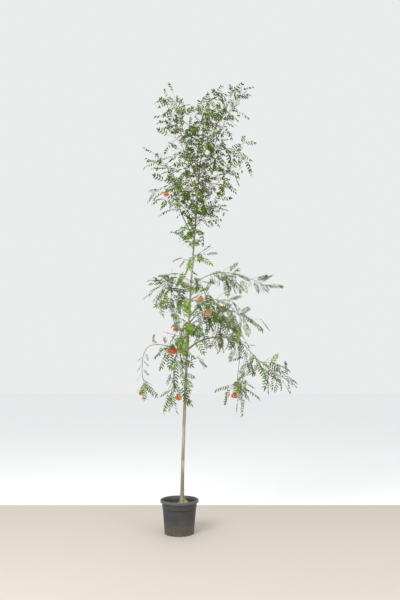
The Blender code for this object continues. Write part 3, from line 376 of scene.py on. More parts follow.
# Where the crown is open to the sky in the photograph, by the share of leaves left out there:
# pixels across and down, and a radius in pixels.
OPENINGS = {
    0.30: [(175, 141, 6), (185, 106, 7)],
    0.40: [(155, 390, 8), (150, 170, 10), (186, 171, 7), (193, 347, 6), (233, 106, 6), (147, 150, 6),
           (200, 152, 6), (172, 370, 5), (153, 154, 7), (220, 134, 5), (156, 165, 6), (182, 207, 5)],
    0.50: [(233, 121, 9), (238, 156, 7), (168, 198, 8), (222, 334, 6), (277, 382, 9), (175, 272, 8),
           (170, 304, 8), (236, 365, 8), (238, 101, 7), (168, 108, 6), (185, 120, 9), (209, 178, 8),
           (236, 103, 8), (228, 137, 8), (160, 187, 7), (284, 385, 8), (240, 118, 7), (218, 137, 5),
           (155, 121, 6), (249, 160, 6), (157, 207, 6), (205, 290, 5), (168, 175, 6), (176, 207, 6),
           (158, 130, 7), (160, 165, 6), (155, 288, 7), (189, 308, 7), (207, 322, 8), (190, 389, 6),
           (264, 367, 5), (251, 335, 6), (158, 131, 6), (160, 167, 6), (190, 175, 6), (178, 207, 5),
           (184, 228, 5), (226, 327, 6), (184, 292, 6), (153, 299, 6), (279, 372, 7), (178, 367, 6),
           (255, 333, 7), (237, 350, 6), (223, 285, 5), (188, 364, 5), (239, 100, 6), (206, 99, 5),
           (214, 211, 5), (228, 105, 6), (170, 366, 5), (250, 370, 5), (283, 368, 5)],
    0.60: [(240, 102, 8), (215, 292, 10), (250, 318, 8), (195, 335, 8), (279, 378, 8), (181, 147, 6),
           (154, 172, 8), (238, 117, 8), (212, 192, 10), (205, 240, 8), (248, 290, 7), (222, 397, 8),
           (183, 171, 6), (148, 283, 7), (250, 319, 7), (256, 336, 8), (207, 327, 8), (279, 389, 7),
           (135, 380, 5), (155, 392, 5), (165, 107, 8), (208, 97, 6), (237, 101, 7), (212, 134, 7),
           (241, 147, 7), (163, 189, 6), (203, 260, 7), (163, 311, 6), (228, 303, 7), (235, 351, 7),
           (207, 97, 6), (207, 175, 6), (219, 174, 6), (236, 175, 6), (184, 310, 7), (222, 283, 6),
           (197, 361, 6), (187, 403, 6), (190, 306, 4), (190, 316, 4), (290, 370, 6), (165, 112, 5),
           (188, 366, 6)],
    0.70: [(210, 252, 8), (256, 283, 10), (193, 310, 7), (222, 288, 9), (246, 271, 6), (209, 252, 8),
           (255, 372, 10), (283, 360, 6), (165, 93, 8), (205, 98, 6), (163, 135, 8), (232, 177, 7),
           (218, 217, 8), (178, 218, 7), (176, 242, 9), (226, 290, 8), (260, 385, 8), (223, 288, 8),
           (163, 362, 6), (262, 350, 6), (249, 399, 7), (194, 392, 5), (236, 171, 7), (208, 182, 8),
           (210, 298, 7), (244, 320, 7), (223, 328, 7), (159, 358, 8), (153, 391, 7), (183, 92, 6),
           (238, 102, 7), (203, 257, 6), (233, 267, 7), (157, 311, 7), (229, 300, 7), (261, 298, 5),
           (191, 296, 4), (231, 298, 6), (247, 320, 5), (150, 284, 5), (238, 101, 6), (191, 301, 5),
           (189, 311, 5), (247, 319, 6)],
    0.75: [(174, 385, 10), (187, 251, 7)],
    0.80: [(168, 145, 12), (240, 268, 9), (168, 311, 8), (198, 365, 8), (230, 397, 11), (292, 392, 6),
           (132, 380, 5), (237, 301, 10), (254, 293, 7), (193, 308, 7), (196, 356, 7), (178, 245, 10),
           (205, 335, 9), (233, 357, 8), (281, 364, 6), (175, 411, 6), (187, 411, 5), (233, 127, 8),
           (190, 404, 8), (264, 350, 7), (276, 286, 7), (200, 336, 6), (237, 409, 6)],
    0.85: [(205, 223, 10), (200, 345, 13), (163, 337, 10), (206, 260, 7)],
    0.90: [(173, 408, 6), (278, 357, 5), (162, 262, 9), (151, 293, 6), (276, 350, 6), (210, 88, 7),
           (239, 77, 5), (257, 91, 6), (212, 235, 7), (272, 292, 7), (172, 263, 7), (158, 395, 9),
           (176, 329, 4)],
    1.00: [(262, 311, 9), (168, 261, 8), (154, 338, 5), (164, 339, 4)],
}

# Tints of leaves: upper side, under side, and share of the leaves low down, high up and in
# the fresh places.
Tint = namedtuple("Tint", "name upper under low high fresh")
TINTS = [
    Tint("deep", (0.046, 0.094, 0.005), (0.095, 0.140, 0.026), 0.40, 0.54, 0.05),
    Tint("mid", (0.096, 0.182, 0.010), (0.150, 0.210, 0.038), 0.373, 0.313, 0.38),
    Tint("fresh", (0.142, 0.236, 0.011), (0.215, 0.285, 0.048), 0.139, 0.099, 0.46),
    Tint("bright", (0.320, 0.410, 0.022), (0.330, 0.410, 0.070), 0.002, 0.002, 0.05),
    Tint("grey", (0.140, 0.192, 0.050), (0.225, 0.265, 0.115), 0.086, 0.046, 0.06),
]
# Where young, paler leaves stand: X, Y, Z and radius.
FRESH_PLACES = [(0.23, -0.02, 3.83, 0.12), (0.56, -0.03, 1.22, 0.13), (0.24, -0.12, 2.00, 0.07)]
BERRY_TINTS = [
    ("orange", (0.78, 0.145, 0.018), (0.90, 0.27, 0.04)),
    ("amber", (0.80, 0.25, 0.03), (0.86, 0.40, 0.07)),
    ("red", (0.66, 0.065, 0.012), (0.84, 0.17, 0.03)),
]


# The growing rule.

def unit(vector):
    """A vector, or an array of vectors, brought to length 1."""
    return vector / np.linalg.norm(vector, axis=-1, keepdims=True)


def curve_points(foot, knee, tip, count):
    """(1-t)^2 foot + 2t(1-t) knee + t^2 tip, for t from 0 to 1."""
    t = np.linspace(0.0, 1.0, count)[:, None]
    return (1 - t) ** 2 * foot + 2 * t * (1 - t) * knee + t ** 2 * tip


def arched(foot, tip, lift, count):
    """A curve from foot to tip, its knee lifted by a share of its length."""
    knee = (foot + tip) / 2 + UP * (lift * np.linalg.norm(tip - foot))
    return curve_points(foot, knee, tip, count)


def trunk_points(heights):
    """The trunk's middle: it leans by a power of its height, and sways by a sine along Y."""
    share = (heights - TRUNK_FOOT) / (TRUNK_TOP - TRUNK_FOOT)
    lean = TRUNK_LEAN * np.maximum(share, 0.0) ** TRUNK_LEAN_POWER
    sway = TRUNK_SWAY * np.sin(2 * np.pi * share)
    return np.stack((TRUNK_FOOT_X + lean, sway, heights + 0.0 * share), axis=-1)


def trunk_radius(heights):
    """The tip's radius, plus a taper by a power of height, plus a flare that dies away above the soil."""
    share = (heights - TRUNK_FOOT) / (TRUNK_TOP - TRUNK_FOOT)
    taper = (TRUNK_FOOT_RADIUS - TRUNK_TIP_RADIUS) * (1 - np.maximum(share, 0.0) ** TRUNK_TAPER_POWER)
    return TRUNK_TIP_RADIUS + taper + FLARE_RADIUS * np.exp(-(heights - TRUNK_FOOT) / FLARE_HEIGHT)


def trunk_line():
    """The trunk's coarse stations, as the solids have them."""
    heights = TRUNK_FOOT + np.linspace(0.0, 1.0, TRUNK_STATIONS) ** 1.35 * (TRUNK_TOP - TRUNK_FOOT)
    heights[1] = TRUNK_FOOT + 0.012
    points = trunk_points(heights)
    points[1, :2] = points[0, :2]
    return points, trunk_radius(heights)


def path_place(points, share):
    """The point, or points, at a share of the way along a path."""
    steps = np.linalg.norm(np.diff(points, axis=0), axis=1)
    travelled = np.concatenate(([0.0], np.cumsum(steps)))
    wanted = np.asarray(share) * travelled[-1]
    return np.stack([np.interp(wanted, travelled, points[:, axis]) for axis in range(3)], axis=-1)


def along_path(path, share, fore, back):
    """A path's direction at a share of the way, from a little before it to a little past it."""
    return unit(path_place(path, min(share + fore, 1.0)) - path_place(path, min(share, 1.0) - back))


def path_length(points):
    return np.linalg.norm(np.diff(points, axis=0), axis=1).sum()


def gaps(points, start, along):
    """How far each point is from each straight piece, and at what share of the piece."""
    offset = points[:, None, :] - start
    share = np.clip((offset * along).sum(2) / (along * along).sum(1), 0.0, 1.0)
    return np.linalg.norm(offset - share[:, :, None] * along, axis=2), share


def path_gap(points, path):
    return gaps(points, path[:-1], np.diff(path, axis=0))[0].min()


def onward(path, tip, gap, reach):
    """Foot, knee and tip of a curve that goes on from a path's tip, in the path's direction."""
    ahead = unit(path[-1] - path[-2])
    foot = path[-1] + ahead * gap
    return foot, foot + ahead * reach * np.linalg.norm(tip - foot), tip


def bough_curve(bough, limbs, gap=TOUCH):
    """Foot, knee and tip of a bough: on from its parent's tip, or out of its parent's side."""
    path = limbs[bough.parent][0]
    tip = np.array(bough.tip)
    if bough.at == 1.0:
        return onward(path, tip, gap, 0.5)
    foot = trunk_points(np.array(bough.at)) if bough.parent == "trunk" else path_place(path, bough.at)
    return foot, (foot + tip) / 2 + np.array(bough.lift), tip


def stem_curve(mass, limbs):
    """Foot, knee and tip of a mass's stem: on from its bough's tip, or out of the trunk."""
    tip = np.array(mass.tip)
    if mass.at is None:
        return onward(limbs[mass.parent][0], tip, TOUCH, 0.45)
    foot = trunk_points(np.array(mass.at))
    return foot, (foot + tip) / 2 + UP * (0.12 * np.linalg.norm(tip - foot)), tip


def stations(curve, count, goes_on):
    """A limb's coarse points, as the solids have them. One that goes on from another starts straight."""
    points = curve_points(*curve, count)
    if goes_on:
        foot, knee, _ = curve
        points[1] = foot + unit(knee - foot) * np.linalg.norm(points[1] - foot)
    return points


def limb_paths():
    """The middle line and the radii of the trunk and of every bough."""
    limbs = {"trunk": trunk_line()}
    for bough in BOUGHS:
        points = stations(bough_curve(bough, limbs), BOUGH_STATIONS, bough.at == 1.0)
        limbs[bough.name] = (points, np.linspace(bough.foot_radius, bough.tip_radius, BOUGH_STATIONS))
    return limbs


def straight_pieces(paths):
    """Where every straight piece of many paths starts, and how it runs."""
    starts = np.concatenate([path[:-1] for path in paths])
    return starts, np.concatenate([np.diff(path, axis=0) for path in paths])


LIMBS = limb_paths()
LIMB_START, LIMB_ALONG = straight_pieces([path for path, _ in LIMBS.values()])
LIMB_RADIUS = np.concatenate([radii[:-1] for _, radii in LIMBS.values()])
LIMB_TAPER = np.concatenate([np.diff(radii) for _, radii in LIMBS.values()])
MASS_NAMES = [mass.name for mass in MASSES]
STEMS = [stations(stem_curve(mass, LIMBS), STEM_STATIONS, mass.at is None) for mass in MASSES]
STEM_START, STEM_ALONG = straight_pieces(STEMS)
STEM_REACH = np.repeat([mass.reach for mass in MASSES], STEM_STATIONS - 1)
STEM_FIRST = np.arange(len(MASSES)) * (STEM_STATIONS - 1)


def clear_of_limbs(points):
    """True where every point stands clear of every limb's surface."""
    gap, share = gaps(points, LIMB_START, LIMB_ALONG)
    return (gap - LIMB_RADIUS - share * LIMB_TAPER).min() >= LIMB_CLEARANCE


def in_own_space(points, index, margin=SHARE_MARGIN):
    """True where every point is in reach of its mass's stem, and not past the middle towards another's."""
    shares = np.minimum.reduceat(gaps(points, STEM_START, STEM_ALONG)[0] / STEM_REACH, STEM_FIRST, axis=1)
    own = shares[:, index].copy()
    shares[:, index] = np.inf
    return own.max() <= 1.0 and not (own + margin > shares.min(axis=1)).any()


def in_any_reach(points):
    """True where every point is in reach of some mass's stem, or past it by no more than a leaflet."""
    return (gaps(points, STEM_START, STEM_ALONG)[0] / STEM_REACH).min(axis=1).max() <= 1.2


def in_box(points):
    """True where every point is within the solids' box, or past it by no more than a leaflet's width."""
    low, high = np.array(cad_box[0]) - 0.015, np.array(cad_box[1]) + 0.015
    high[2] += 0.02
    return (points > low).all() and (points < high).all()


def is_high(point):
    """True in the upper crown."""
    return point[2] > UPPER_FROM


def life_size(base):
    """A leaf's real length as a share of a solid leaf's: shorter in the upper crown."""
    return HIGH_LIFE_SIZE if is_high(base) else LIFE_SIZE


Leaf = namedtuple("Leaf", "base heading side length")


def leaf_samples(leaf):
    """Points of a leaf that have to stay clear: of its rib, and the middles and tips of its leaflets.

    The rib is base + heading * length * s, sinking by s squared.
    """
    share = np.linspace(0.0, 1.0, 6)[:, None]
    rib = leaf.base + leaf.heading * leaf.length * share - UP * LEAF_ARCH * leaf.length * share ** 2
    spreads = [rib[2:5] + leaf.side * leaf.length * LEAF_SPREAD * spread for spread in (-1.0, -0.5, 0.5, 1.0)]
    return np.concatenate([rib[1:]] + spreads)


def clear_of_own(samples, taken, shoots, fruit, leaf_gap=LEAF_GAP):
    """True where a leaf stands clear of the leaves, twigs and fruit heads of its own mass."""
    for other in taken:
        if np.linalg.norm(samples[:, None] - other[None], axis=2).min() < leaf_gap:
            return False
    for shoot in shoots:
        if path_gap(samples, shoot) < TWIG_GAP:
            return False
    for *centre, width in fruit:
        if np.linalg.norm(samples - centre, axis=1).min() < width / 2 + TWIG_GAP:
            return False
    return True


def turned_leaf(base, heading, hang, habit, attempt, scale, chance):
    """One try at a leaf, freer each time: it strays and sinks from its heading, and faces up and outward."""
    freedom = habit.freedom + habit.more * attempt
    stray = np.array([chance.uniform(-freedom, freedom) for _ in range(3)])
    direction = unit(heading + stray - UP * hang * habit.sink)
    outward = unit(base - trunk_points(base[2]) + 0.001) * (habit.outward + habit.outward_hung * hang)
    roll = np.array([chance.uniform(-habit.roll, habit.roll) for _ in range(3)])
    side = unit(np.cross(direction, outward + UP * (1.0 - 0.4 * hang) + roll))
    return Leaf(base, direction, side, LEAF_LENGTH * chance.uniform(habit.shortest, 1.08) * scale)


def place_leaf(base, heading, index, shoots, taken, chance):
    """A leaf where the solids have one, tried until it has room, and then brought to life size."""
    mass = MASSES[index]
    for attempt in range(TRIES):
        shortened = 1.0 - 0.25 * attempt / TRIES
        leaf = turned_leaf(base, heading, mass.hang, SOLID_HABIT, attempt, shortened, chance)
        samples = leaf_samples(leaf)
        if (in_own_space(samples, index) and clear_of_limbs(samples)
                and clear_of_own(samples, taken, shoots, mass.fruit)):
            taken.append(samples)
            return leaf._replace(length=leaf.length * life_size(base))
    return None


def fine_leaf(base, heading, index, taken, chance, anywhere=False, size=1.0):
    """A life-size leaf that may mingle with the next mass's, and keeps a little clear of its own."""
    mass = MASSES[index]
    for attempt in range(FINE_TRIES):
        leaf = turned_leaf(base, heading, mass.hang, FINE_HABIT, attempt, life_size(base) * size, chance)
        samples = leaf_samples(leaf)
        room = in_any_reach(samples) if anywhere else in_own_space(samples, index, FINE_MARGIN)
        if (room and in_box(samples) and clear_of_limbs(samples)
                and clear_of_own(samples, taken, (), mass.fruit, FINE_LEAF_GAP)):
            taken.append(samples)
            return leaf
    return None


def turned_out(along, turn, aside=(0.5, 0.3, 0.8)):
    """The direction square to a path that a turn about it leads to."""
    across = unit(np.cross(along, np.array(aside)))
    return across * math.cos(turn) + np.cross(along, across) * math.sin(turn)


def side_leaf(path, share, near, forward, turn, index, taken, chance, anywhere=False):
    """A fine leaf turned out from a path at a share of the way, or nearly straight on at its tip."""
    along = along_path(path, share, near, 2 * near)
    heading = unit(along * forward + turned_out(along, turn) * (0.2 if share > LEAF_TIP_FROM else 1.0))
    return fine_leaf(path_place(path, min(share, LAST_LEAF_AT)), heading, index, taken, chance, anywhere)


def grow_twigs(index, chance):
    """Twigs leave the stem at even steps, turned by the golden angle."""
    mass = MASSES[index]
    stem = STEMS[index]
    turn = chance.uniform(0.0, 2 * math.pi)
    twigs = []
    for number in range(mass.twigs):
        share = 0.25 + 0.60 * (number + 0.5) / mass.twigs
        root = path_place(stem, share)
        along = unit(path_place(stem, share + 0.05) - root)
        for _ in range(TRIES):
            turn += GOLDEN_TURN
            heading = unit(along * 0.55 + turned_out(along, turn, (0.3, 0.5, 0.8)) - UP * mass.hang * 0.6)
            twig = np.array((root, root + heading * mass.reach * TWIG_LENGTH * chance.uniform(0.8, 1.1)))
            if in_own_space(twig[1:], index) and clear_of_limbs(twig[1:]):
                twigs.append(twig)
                break
    return twigs


def grow(index):
    """The twigs and leaves that the solids have: a leaf at each shoot's tip and one on its side."""
    name = MASSES[index].name
    chance = random.Random(sum(place * ord(letter) for place, letter in enumerate(name, 1)))
    stem = STEMS[index]
    twigs = grow_twigs(index, chance)
    shoots = twigs + [stem]
    taken = []
    leaves = []
    for number, shoot in enumerate(shoots):
        ahead = unit(shoot[-1] - shoot[-2])
        leaves.append(place_leaf(shoot[-1] - ahead * LEAF_ROOT, ahead, index, shoots, taken, chance))
        sideways = unit(np.cross(ahead, unit(stem[-1] - stem[0]) + 0.01)) * (1 if number % 2 else -1)
        middle = path_place(shoot, 0.5 if number < len(twigs) else 0.85)
        leaves.append(place_leaf(middle, unit(ahead * 0.5 + sideways), index, shoots, taken, chance))
    return twigs, [leaf for leaf in leaves if leaf], taken


def grow_finer(index, twigs, taken):
    """Finer twigs off the stem and the twigs, and alternate leaves along them all.

    Both leave at even steps, turned by the golden angle, and a twig or leaf
    with no room is left out.
    """
    mass = MASSES[index]
    chance = random.Random(FINE_SEED + index)
    stem = curve_points(*stem_curve(mass, LIMBS), 24)
    turn = chance.uniform(0.0, 2 * math.pi)
    fine = []
    shoots = [(stem, 0.12)] + [(twig, 0.3) for twig in twigs]
    for shoot, first in shoots:
        count = int(path_length(shoot) / FINE_TWIG_STEP)
        for number in range(count):
            share = first + (0.96 - first) * (number + chance.uniform(0.2, 0.8)) / count
            root = path_place(shoot, share)
            along = along_path(shoot, share, 0.04, 0.04)
            for _ in range(FINE_TWIG_TRIES):
                turn += GOLDEN_TURN
                heading = unit(along * 0.8 + turned_out(along, turn) - UP * 0.4 * mass.hang)
                tip = root + heading * chance.uniform(0.045, 0.100)
                if in_own_space(tip[None], index, FINE_MARGIN) and clear_of_limbs(tip[None]):
                    fine.append(np.array((root, (root + tip) / 2 + UP * 0.004, tip)))
                    break
    leaves = []
    step = HIGH_LEAF_STEP if is_high(mass.tip) else FINE_LEAF_STEP
    for shoot, first in shoots + [(twig, 0.4) for twig in fine]:
        count = max(1, int(round(path_length(shoot) * (1 - first) / step)))
        for number in range(count):
            turn += GOLDEN_TURN
            share = first + (1 - first) * (number + 1) / count
            leaves.append(side_leaf(shoot, share, 0.04, 0.6, turn, index, taken, chance))
    return stem, fine, [leaf for leaf in leaves if leaf]


def seen_at(across, down, y):
    """X, Y and Z of what the photograph shows at a pixel, if it stands at this Y, to the centimetre."""
    focal = LENS / SENSOR_WIDTH * PHOTO_HEIGHT
    tilt = math.radians(EYE_TILT)
    right = (across - PHOTO_WIDTH / 2) / focal
    up = (PHOTO_HEIGHT / 2 - down) / focal
    distance = (y - EYE[1]) / (math.cos(tilt) - up * math.sin(tilt))
    height = EYE[2] + distance * (math.sin(tilt) + up * math.cos(tilt))
    return round(EYE[0] + distance * right, 2), y, round(height, 2)


def picked_spray(picked):
    """A spray picked in the photograph, with its tip's place."""
    return Spray(picked.limb, picked.at, *seen_at(picked.across, picked.down, picked.y), picked.leaves)


def grow_sprays():
    """The sprays' twigs, each a curve with a little lift, and alternate leaves along each."""
    chance = random.Random(SPRAY_SEED)
    lines = dict(zip(MASS_NAMES, STEMS))
    lines.update({name: path for name, (path, _) in LIMBS.items()})
    turn = 0.0
    twigs = []
    leaves = []
    taken = []
    for spray in SPRAYS + [picked_spray(picked) for picked in PICKED_SPRAYS]:
        tip = np.array((spray.x, spray.y, spray.z))
        twig = arched(path_place(lines[spray.limb], spray.at), tip, 0.14, 6)
        twigs.append(twig)
        if spray.limb in MASS_NAMES:
            index = MASS_NAMES.index(spray.limb)
        else:
            index = int(gaps(tip[None], STEM_START, STEM_ALONG)[0][0].argmin()) // (STEM_STATIONS - 1)
        for number in range(spray.leaves):
            turn += GOLDEN_TURN
            share = 0.25 + 0.75 * (number + 1) / spray.leaves
            leaves.append(side_leaf(twig, share, 0.05, 0.7, turn, index, taken, chance, True))
    return twigs, [leaf for leaf in leaves if leaf]


def grow_small_leaves():
    """Small leaves along the bare outer parts of a few boughs, alternate, at even steps."""
    chance = random.Random(SMALL_LEAF_SEED)
    leaves = []
    taken = []
    for name, first, last, count, mass, size in SMALL_LEAVES:
        path = LIMBS[name][0]
        index = MASS_NAMES.index(mass)
        for number in range(count):
            share = first + (last - first) * number / (count - 1)
            along = along_path(path, share, 0.05, 0.05)
            sideways = unit(np.cross(along, (0.0, 1.0, 0.2))) * (1 if number % 2 else -1)
            base = path_place(path, share) + sideways * 0.006
            leaves.append(fine_leaf(base, unit(sideways + along * 0.4), index, taken, chance, True, size))
    return [leaf for leaf in leaves if leaf]


def opening_disc(across, down, radius):
    """An opening on the plane Y = 0: its middle's X and Z, and its radius, to the centimetre."""
    x, _, z = seen_at(across, down, 0.0)
    return (x, z), round(radius / (UPPER_PIXELS if z > UPPER_FROM else LOWER_PIXELS), 2)


def open_to_sky(leaves):
    """Leaves left after a share of those in each opening is left out, as the eye point sees their middles."""
    chance = random.Random(SKY_SEED)
    discs = [(share, *opening_disc(*place)) for share, places in OPENINGS.items() for place in places]
    kept = []
    for leaf in leaves:
        middle = leaf.base + leaf.heading * leaf.length * 0.55
        x, _, z = EYE + (middle - EYE) * EYE[1] / (EYE[1] - middle[1])
        left_out = [share for share, centre, radius in discs if math.dist((x, z), centre) < radius]
        if chance.random() >= max(left_out, default=0.0):
            kept.append(leaf)
    return kept


# Surfaces.

def noise(points, seed=0):
    """Smooth noise from -1 to 1: a hashed value at each whole-number corner, eased from corner to corner."""
    cell = np.floor(points).astype(np.int64)
    share = points - cell
    share = share * share * (3 - 2 * share)
    total = 0.0
    for corner in itertools.product((0, 1), repeat=3):
        key = (cell + corner) @ np.array((73856093, 19349663, 83492791)) + seed * 374761393
        key = (key ^ (key >> 13)) * 1274126177
        value = ((key ^ (key >> 16)) & 0xFFFF) / 32767.5 - 1.0
        total = total + value * np.prod(np.where(corner, share, 1 - share), axis=-1)
    return total


def grid_faces(rows, columns, wrap):
    """Triangles of a grid of points, each row closed on itself if wrap is set."""
    row, column = np.meshgrid(np.arange(rows - 1), np.arange(columns if wrap else columns - 1), indexing="ij")
    after = (column + 1) % columns
    a = row * columns + column
    b = row * columns + after
    c = b + columns
    d = a + columns
    return np.concatenate((np.stack((a, b, c), -1).reshape(-1, 3), np.stack((a, c, d), -1).reshape(-1, 3)))


def fan_faces(ring, centre, forward):
    """Triangles from a closed ring of points to one point."""
    after = np.roll(ring, -1)
    middle = np.full_like(ring, centre)
    return np.stack((middle, ring, after) if forward else (middle, after, ring), -1)


def closed_tube_faces(rows, sides):
    """Triangles of rings of points, the last two points being the middles of the two ends."""
    ring = np.arange(sides)
    count = rows * sides
    return np.concatenate((grid_faces(rows, sides, True), fan_faces(ring, count, False),
                           fan_faces(ring + count - sides, count + 1, True)))


def ring_angles(count):
    """Even angles round a ring: 2 pi k / count."""
    return np.arange(count) * 2 * np.pi / count


def polar(radius, angle, height):
    """Points (r cos a, r sin a, z), for arrays of r, a and z that fit together."""
    return np.stack(np.broadcast_arrays(radius * np.cos(angle), radius * np.sin(angle), height), -1)


def capped(rings, first, last, downward=False):
    """Rings of points closed by a middle point at each end, the faces turned over if the rings run down."""
    points = np.concatenate((rings.reshape(-1, 3), [first, last]))
    faces = closed_tube_faces(*rings.shape[:2])
    return points, faces[:, ::-1] if downward else faces


def carried_rings(paths, radii, sides):
    """Rings carried along many paths at once: point + radius * (cos a * side + sin a * up).

    side is square to the path and as near as it can be to the normal of the
    plane that the path bends in, so the rings don't twist.
    """
    ahead = unit(np.gradient(paths, axis=1))
    middle = paths.shape[1] // 2
    chord = paths[:, -1] - paths[:, 0]
    bend = np.cross(paths[:, middle] - paths[:, 0], chord) / (chord ** 2).sum(1)[:, None]
    normal = bend + 0.02 * unit(np.cross(chord, np.array((0.31, 0.52, 0.79))))
    side = unit(normal[:, None] - (normal[:, None] * ahead).sum(2)[:, :, None] * ahead)
    up = np.cross(ahead, side)
    angle = ring_angles(sides)[:, None]
    ring = side[:, :, None] * np.cos(angle) + up[:, :, None] * np.sin(angle)
    return paths[:, :, None] + np.broadcast_to(radii, paths.shape[:2])[:, :, None, None] * ring


def tubes(paths, radii, sides):
    """Closed tubes along many paths of one length: all their points, and their triangles."""
    rings = carried_rings(paths, radii, sides)
    count, rows = paths.shape[:2]
    ends = np.stack((paths[:, 0], paths[:, -1]), 1)
    points = np.concatenate((rings.reshape(count, rows * sides, 3), ends), 1)
    return repeat_faces(points, closed_tube_faces(rows, sides))


def repeat_faces(points, faces):
    """Copies of one form, points as (copies, points, 3): their points in one list, and all their faces."""
    count, size = points.shape[:2]
    every = faces[None] + (np.arange(count) * size)[:, None, None]
    return points.reshape(-1, 3), every.reshape(-1, 3)


def joined(*forms):
    """Several forms, each points and faces, as one."""
    points = np.concatenate([form[0] for form in forms])
    shifts = np.cumsum([0] + [len(form[0]) for form in forms[:-1]])
    return points, np.concatenate([form[1] + shift for form, shift in zip(forms, shifts)])


def piece(name, form, finish, nodes=(), smooth=True, crease=None, second=None, second_faces=None):
    """A mesh from arrays, riding on the root. second is the finish of the faces where second_faces is set."""
    points, faces = form
    mesh = bpy.data.meshes.new(name)
    mesh.vertices.add(len(points))
    mesh.vertices.foreach_set("co", np.ascontiguousarray(points, dtype=np.float32).ravel())
    mesh.loops.add(faces.size)
    mesh.loops.foreach_set("vertex_index", faces.astype(np.int32).ravel())
    mesh.polygons.add(len(faces))
    mesh.polygons.foreach_set("loop_start", np.arange(len(faces), dtype=np.int32) * 3)
    mesh.materials.append(finish)
    if second is not None:
        mesh.materials.append(second)
        mesh.polygons.foreach_set("material_index", second_faces.astype(np.int32))
    mesh.update(calc_edges=True)
    if smooth:
        mesh.shade_smooth()
    if crease:
        mesh.set_sharp_from_angle(angle=math.radians(crease))
    obj = bpy.data.objects.new(name, mesh)
    bpy.context.scene.collection.objects.link(obj)
    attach(obj, "root")
    if nodes:
        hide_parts(*nodes)
    return obj


# Finishes.

class Wire:
    """A socket of a finish. Arithmetic on it adds Math nodes."""

    def __init__(self, finish, socket):
        self.finish = finish
        self.socket = socket

    def maths(self, operation, *values):
        return self.finish.add("ShaderNodeMath", {"operation": operation}, dict(enumerate(values)))

    def __add__(self, other):
        return self.maths("ADD", self, other)

    def __rsub__(self, other):
        return self.maths("SUBTRACT", other, self)

    def __mul__(self, other):
        return self.maths("MULTIPLY", self, other)

    __radd__ = __add__
    __rmul__ = __mul__

    def between(self, low, high):
        """0 below low, 1 above high, eased between them."""
        limits = {"Value": self, "From Min": low, "From Max": high}
        return self.finish.add("ShaderNodeMapRange", {"interpolation_type": "SMOOTHSTEP"}, limits)


class Finish:
    """A material made of nodes, whose patterns lie on Object coordinates."""

    def __init__(self, name):
        self.material = bpy.data.materials.new(name)
        self.material.use_nodes = True
        self.nodes = self.material.node_tree.nodes
        self.place = self.add("ShaderNodeTexCoord", {}, {}, "Object")
        self.height = self.add("ShaderNodeSeparateXYZ", {}, {0: self.place}, "Z")

    def put(self, node, values):
        """Link wires to a node's sockets, and set the other sockets to plain values."""
        for name, value in values.items():
            if isinstance(value, Wire):
                self.material.node_tree.links.new(value.socket, node.inputs[name])
            else:
                node.inputs[name].default_value = value

    def add(self, kind, settings, values, output=0):
        """Any node: its settings first, then the values or links of its sockets. One output comes back."""
        node = self.nodes.new(kind)
        for name, value in settings.items():
            setattr(node, name, value)
        self.put(node, values)
        return Wire(self, node.outputs[output])

    def stretched(self, scale):
        """Object coordinates, scaled along each axis."""
        return self.add("ShaderNodeVectorMath", {"operation": "MULTIPLY"}, {0: self.place, 1: scale})

    def noise(self, scale, detail=3.0, stretch=(1.0, 1.0, 1.0), roughness=0.55):
        values = {"Vector": self.stretched(stretch), "Scale": scale, "Detail": detail, "Roughness": roughness}
        return self.add("ShaderNodeTexNoise", {}, values)

    def cells(self, scale, stretch=(1.0, 1.0, 1.0)):
        return self.add("ShaderNodeTexVoronoi", {}, {"Vector": self.stretched(stretch), "Scale": scale})

    def mix(self, share, low, high):
        """A colour between two, each a colour or a wire: inputs 6 and 7 of the node, and its output 2."""
        values = {0: share, 6: self.colour(low), 7: self.colour(high)}
        return self.add("ShaderNodeMix", {"data_type": "RGBA"}, values, 2)

    def layered(self, tint, *layers):
        """Colours laid over a tint in turn, each after the share it covers."""
        for share, colour in layers:
            tint = self.mix(share, tint, colour)
        return tint

    @staticmethod
    def colour(value):
        return value if isinstance(value, Wire) else (*value[:3], 1.0)

    def end(self, colour, roughness, bump=None, depth=0.001, **more):
        """Set the shader, and give back the material."""
        values = {"Base Color": self.colour(colour), "Roughness": roughness}
        values.update({name.replace("_", " "): value for name, value in more.items()})
        if bump is not None:
            relief = {"Height": bump, "Distance": depth, "Strength": 1.0}
            values["Normal"] = self.add("ShaderNodeBump", {}, relief)
        self.put(self.nodes["Principled BSDF"], values)
        return self.material


def mottled_finish(name, mottle, edges, tints, roughness, grain, depth, **more):
    """Two tints mottled by noise, eased between two edges of it, with a grain of finer noise."""
    finish = Finish(name)
    tint = finish.mix(finish.noise(*mottle).between(*edges), *tints)
    return finish.end(tint, roughness, finish.noise(*grain), depth, **more)


def leaf_finish(name, colour, roughness):
    """Leaf green, mottled a little lighter and darker, with a fine grain."""
    tints = [[part * factor for part in colour] for factor in (0.72, 1.22)]
    return mottled_finish(name, (38.0, 2.0), (0.35, 0.65), tints, roughness, (900.0, 2.0), 0.0004,
                          Specular_IOR_Level=0.14)


